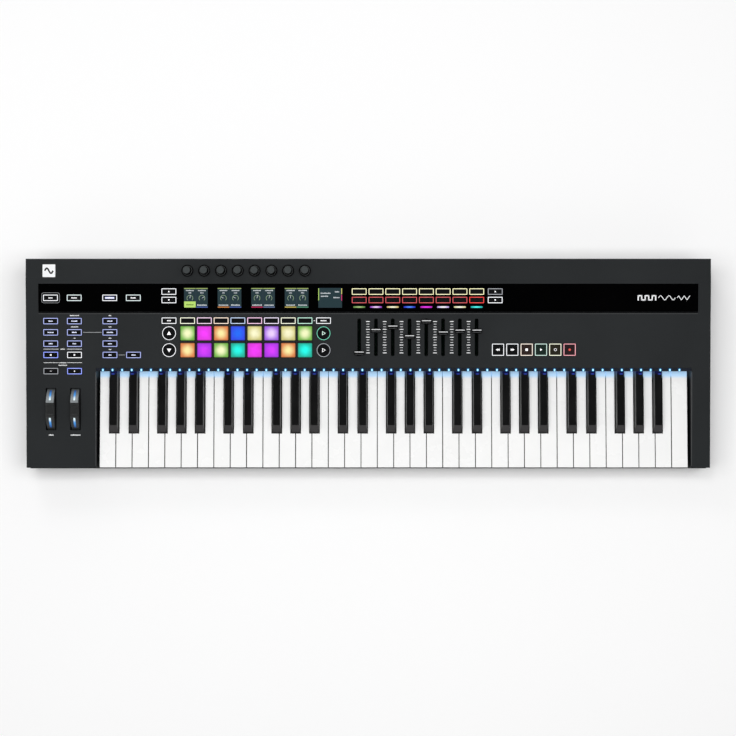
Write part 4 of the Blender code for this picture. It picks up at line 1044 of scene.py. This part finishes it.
def faders():
    """Wedge caps on a steel lever: a pale line on the ridge, and a finger face that falls to the front."""
    for i, (x, setting) in enumerate(zip(FADER_COLUMNS, FADER_SETTINGS)):
        y = FADER_MIN_Y + setting * FADER_TRAVEL
        piece = Piece(MAIN.matrix() @ Matrix.Translation((x, MAIN.along(y), 0)))
        lever = [rounded(0, 0, 0.0018, 0.0040, 0.0003, z) for z in (-0.0100, 0.0018)]
        piece.skin(lever, STEEL, (0, 0, 0.01, 0.01))
        rings = []
        for z, w, rear, front in (
            (0.0012, 0.0136, 0.0031, -0.0031),
            (0.0015, 0.0140, 0.0033, -0.0033),
            (0.0030, 0.0140, 0.0033, -0.0033),
            (0.0035, 0.0139, 0.0032, -0.0022),
            (0.0042, 0.0138, 0.0030, -0.0011),
            (0.0066, 0.0136, 0.0028, -0.0004),
            (0.0082, 0.0135, 0.0024, 0.0001),
            (0.0092, 0.0134, 0.0021, 0.0005),
            (0.0095, 0.0131, 0.0019, 0.0007),
        ):
            deep = rear - front
            rings.append(rounded(0, (rear + front) / 2, w, deep, min(0.0006, deep / 3), z, 3))
        piece.skin(rings, DEEP_BLACK, (0, 0, 0.014, 0.0066))
        piece.slab(0, 0.0014, 0.0130, 0.0012, 0.0004, 0.0094, 0.00968, FADER_LINE, soft=0.00005)
        piece.slab(0, -0.0018, 0.0124, 0.0006, 0.0002, 0.0034, 0.0041, FADER_SIDE, soft=0.00005)
        name = f"fader_{i + 1}"
        piece.done(name + "_cap", name, (name,))


def wheel_axis():
    below = WHEEL_RADIUS - WHEEL_PROUD
    return WHEEL_Y + below * math.sin(MAIN_SLOPE), MAIN.z(WHEEL_Y) - below * math.cos(MAIN_SLOPE)


def wheels():
    """Rubber discs with a ribbed finger notch, paler tyres each side of it and a lit line in each; the rear
    tyre is made paler as painted light, and the front one darker as painted shade.
    """
    notch, count, top = math.radians(15.5), 240, math.pi / 2 + MAIN_SLOPE
    half = WHEEL_WIDTH / 2
    shoulder = 0.0016
    edge = [-half, -half, -half + 0.0005, -half + shoulder, -0.0015]
    across = edge + [-h for h in reversed(edge)]
    trims = [0.0060, 0.0016, 0.0006, 0.0, 0.0, 0.0, 0.0, 0.0006, 0.0016, 0.0060]
    whole = (0, 0, 0.07, 0.07)

    def around(h, r, a):
        return (h, r * math.cos(a), r * math.sin(a))

    def dip(a):
        off = abs((a - top + math.pi) % (2 * math.pi) - math.pi)
        if off < notch:
            ribs = 0.00016 * math.cos(off * 150)
            return 0.0026 * (0.5 + 0.5 * math.cos(math.pi * (off / notch) ** 4)) + ribs
        return 0.0

    lit, pale = wheel_lamp_material(), wheel_pale_material()
    for name, x in WHEELS:
        piece = Piece(Matrix.Translation((x, *wheel_axis())))
        turns = [2 * math.pi * i / count for i in range(count)]
        rings = []
        for h, trim in zip(across, trims):
            radii = [WHEEL_RADIUS - 0.0005 - trim - dip(a) for a in turns]
            rings.append([around(h, r, a) for r, a in zip(radii, turns)])
        piece.skin(rings, WHEEL_NOTCH, whole, smooth=True)
        axle = [[around(h, 0.003, a) for a in turns[::8]] for h in (-0.0098, 0.0098)]
        piece.skin(axle, STEEL, (0, 0, 0.02, 0.02), smooth=True)
        width = half - shoulder * 0.5
        low, high = WHEEL_RADIUS - 0.0009, WHEEL_RADIUS - 0.00003
        for side, tyre in ((-1, pale), (1, WHEEL_FRONT_SHADED)):
            sections = []
            for k in range(37):
                a = top + side * math.radians(16.3 + 1.2 * k)
                right = ((width, low), (width, high - 0.0003), (width - 0.0004, high))
                section = [(-width, low), *right, (0.0004 - width, high), (-width, high - 0.0003)]
                sections.append([around(h, r, a) for h, r in section])
            piece.skin(sections, tyre, whole)
            strip = []
            first, last = (22, 50) if side < 0 else (20, 48)
            for k in range(29):
                t = k / 28
                a = top + side * math.radians(first + (last - first) * t)
                w = 0.0022 * (1 - 0.15 * t) * math.sqrt(min(1, 0.45 + 3 * t))
                foot, crest = high - 0.0002, high + 0.00002
                section = ((-w, foot), (w, foot), (w * 0.8, crest), (-w * 0.8, crest))
                strip.append([around(h, r, a) for h, r in section])
            near, far = (WHEEL_RADIUS * math.cos(top + side * math.radians(q)) for q in (first, last))
            piece.skin(strip, lit, (0, (near + far) / 2, 0.0044, far - near))
        piece.done(name + "_tyre", name, (name,))


def wheel_lamp_material():
    """Lit line of a wheel: white by the notch, blue at the far end, and deep blue at its borders."""
    stuff = Stuff("wheel_lamp", (0.02, 0.02, 0.02), 0.35)
    u, v, _ = stuff.split("UV")
    across = stuff.math("ABSOLUTE", stuff.math("SUBTRACT", u, 0.5))
    along = stuff.mix(stuff.remap(v, 0.10, 0.55, smooth=True), lin(232, 252, 255), lin(58, 150, 228))
    along = stuff.mix(stuff.remap(v, 0.5, 1.0, smooth=True), along, lin(12, 66, 134))
    stuff.emit(stuff.mix(stuff.remap(across, 0.16, 0.46, smooth=True), along, lin(14, 62, 118)))
    stuff.bump(stuff.noise(1400, 2), 0.2, 0.00003)
    return stuff.material


def wheel_pale_material():
    """Rear tyre of a wheel, frosted, with painted light: paler than the front tyre and lightest by the notch.
    """
    stuff = Stuff("wheel_pale", (0.2, 0.21, 0.22), 0.35)
    # Painted light: lighter towards the notch, darker as the tyre turns away from it.
    painted_light_by_notch = stuff.ramp("Y", 0.0290, 0.0110)
    cloud = stuff.remap(stuff.noise(60, 3), 0.3, 0.7, 0.9, 1.08)
    tone = stuff.mix(painted_light_by_notch, (0.062, 0.070, 0.074), (0.235, 0.255, 0.265))
    stuff.drive("Base Color", stuff.times(tone, cloud))
    stuff.bump(stuff.noise(2800, 3), 0.4, 0.00003)
    return stuff.material


# Sides, rear and underside


def rear_details():
    """Rings, pins and tongues of the sockets, and short printed legends above them."""
    piece = Piece(Matrix.Translation((0, PLATE_Y, 0)) @ Matrix.Rotation(-math.pi / 2, 4, "X"))
    z = -SOCKET_Z
    for x in (-0.140, -0.114, -0.088):
        piece.ring(x, z, 0.0086, 0.0013, 0.0, 0.0009, SOFT_BLACK, 40)
        piece.disc(x, z, 0.0066, -0.0095, -0.0062, SOFT_BLACK, n=32)
        for k in range(5):
            a = math.radians(180 + 45 * k)
            px, pz = x + 0.0042 * math.cos(a), z - 0.0042 * math.sin(a)
            piece.disc(px, pz, 0.0007, -0.0062, -0.0058, BRASS, 0.0001, 12)
    voltage, pedals = [-0.058 + 0.016 * i for i in range(7)], (0.075, 0.105, 0.135)
    for x in voltage:
        piece.ring(x, z, 0.0039, 0.0019, 0.0, 0.0010, STEEL, 28)
    for x in pedals:
        piece.ring(x, z, 0.0068, 0.0031, 0.0, 0.0012, SOFT_BLACK, 6)
        piece.ring(x, z, 0.0048, 0.0013, 0.0, 0.0016, STEEL, 32)
    piece.ring(-0.205, z, 0.0050, 0.0017, 0.0, 0.0008, SOFT_BLACK, 32)
    piece.disc(-0.205, z, 0.0009, -0.0095, -0.0020, STEEL, n=16)
    piece.slab(-0.176, z, 0.0040, 0.0030, 0.0003, -0.0100, -0.0030, NYLON)
    legends = [(-0.232, 6.0), (-0.205, 5.0), (-0.176, 5.0), (-0.140, 5.0), (-0.114, 6.5), (-0.088, 7.0)]
    legends += [(x, 5.5) for x in voltage] + [(x, 8.0) for x in pedals]
    for k, (x, length) in enumerate(legends):
        piece.legend(x, -0.0640, length * MM, 0.0013, 0.00001, INK, 400 + k)
    piece.slab(0.180, z, 0.0070, 0.0030, 0.0012, 0.0, 0.0002, SOFT_BLACK)
    piece.done("socket_details", "case")


def screw(piece, x, y, z, r=0.0032):
    """A cross-head screw seen from its head, which faces +Z of the piece."""
    steps = ((r, z - 0.0012), (r, z - 0.0003), (r * 0.8, z), (r * 0.2, z + 0.00008))
    piece.skin([circle(x, y, q, h, 28) for q, h in steps], DARK_STEEL, (x, y, 2 * r, 2 * r), smooth=True)
    for w, d in ((r * 1.1, r * 0.26), (r * 0.26, r * 1.1)):
        piece.slab(x, y, w, d, r * 0.08, z - 0.0001, z + 0.00011, SOFT_BLACK, soft=0.00002, n=1)


def underside():
    """Screws, a blank rating plate and moulded ribs under the case."""
    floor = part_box("bottom_case")[0].z
    piece = Piece(Matrix.Translation((0, 0, floor)) @ Matrix.Rotation(math.pi, 4, "X"))
    outer = [(x, y) for x in (-0.400, -0.200, 0.0, 0.200, 0.400) for y in (-0.128, 0.128)]
    for x, y in outer + [(-0.300, 0), (0.300, 0)]:
        piece.ring(x, y, 0.0052, 0.0012, -0.0003, 0.0006, CASE, 32)
        screw(piece, x, y, 0.0002)
    piece.slab(0.090, 0.060, 0.070, 0.032, 0.002, -0.0002, 0.0001, DIM_INK, soft=0.00005)
    for row in range(4):
        piece.legend(0.090, 0.070 - 0.0062 * row, 0.050 - 0.006 * row, 0.0016, 0.0001, SOFT_BLACK, 500 + row)
    for i in range(24):
        x = -0.150 + 0.006 * i
        piece.slab(x, -0.060, 0.0022, 0.040, 0.0010, -0.0002, 0.0004, SOFT_BLACK)
    piece.done("underside_details", "case")


# Studio


def studio():
    bpy.ops.mesh.primitive_plane_add(size=14)
    floor = bpy.context.object
    floor.name = "studio_floor"
    paper = Stuff("studio_paper", (0.97, 0.97, 0.97), 0.9, Specular_IOR_Level=0.1)
    paper.drive("Base Color", paper.cloudy(1.5, 2, (0.965, 0.965, 0.967), (0.975, 0.975, 0.975)))
    floor.data.materials.append(paper.material)

    world = bpy.data.worlds.new("studio")
    world.use_nodes = True
    bpy.context.scene.world = world
    tree = world.node_tree
    background = tree.nodes["Background"]
    coords = tree.nodes.new("ShaderNodeTexCoord")
    parts = tree.nodes.new("ShaderNodeSeparateXYZ")
    bright = tree.nodes.new("ShaderNodeMath")
    bright.operation = "ADD"
    tree.links.new(coords.outputs["Generated"], parts.inputs[0])
    for socket, numbers in zip(bright.inputs, ((0.05, 0.40, 0.46, 0.0), (0.60, 0.88, 0.30, 0.004))):
        band = tree.nodes.new("ShaderNodeMapRange")
        band.interpolation_type = "SMOOTHSTEP"
        for name, number in zip(RANGE_SOCKETS, numbers):
            band.inputs[name].default_value = number
        tree.links.new(parts.outputs[2], band.inputs["Value"])
        tree.links.new(band.outputs["Result"], socket)
    tree.links.new(bright.outputs[0], background.inputs["Color"])

    def softbox(name, place, size, power, glossy):
        data = bpy.data.lights.new(name, "AREA")
        data.shape, data.size, data.size_y, data.energy = "RECTANGLE", size[0], size[1], power
        obj = bpy.data.objects.new(name, data)
        bpy.context.scene.collection.objects.link(obj)
        obj.location = place
        obj.rotation_euler = (-Vector(place)).to_track_quat("-Z", "Y").to_euler()
        obj.visible_glossy = glossy

    softbox("overhead_softbox", (0.0, 0.0, 3.0), (3.7, 1.6), 85, False)
    softbox("key_softbox", (-0.30, 0.80, 3.0), (0.5, 0.5), 7, False)
    softbox("rear_left_softbox", (-1.0, 1.9, 1.9), (0.9, 0.6), 5, True)
    bpy.context.scene.view_settings.view_transform = "Standard"


def camera():
    """Straight above and leaning a little to the front, at the usual distance of a catalogue picture."""
    target, distance, elevation, seen = Vector((-0.0004, -0.0062, 0.070)), 2.5, math.radians(87.0), 1.0552
    data = bpy.data.cameras.new("camera")
    data.sensor_width = 36
    data.lens = 36 * distance / seen
    data.clip_end = 50
    obj = bpy.data.objects.new("camera", data)
    bpy.context.scene.collection.objects.link(obj)
    back = Vector((0, -math.cos(elevation), math.sin(elevation)))
    obj.location = target + back * distance
    obj.rotation_euler = (-back).to_track_quat("-Z", "Y").to_euler()
    bpy.context.scene.camera = obj


finish_cad_nodes()
function_buttons()
pad_section_buttons()
pads()
transport_buttons()
band_buttons()
displays()
band_lamps()
marks()
panel_print()
key_lamps()
knobs()
fader_slots()
faders()
wheels()
rear_details()
underside()
studio()
camera()
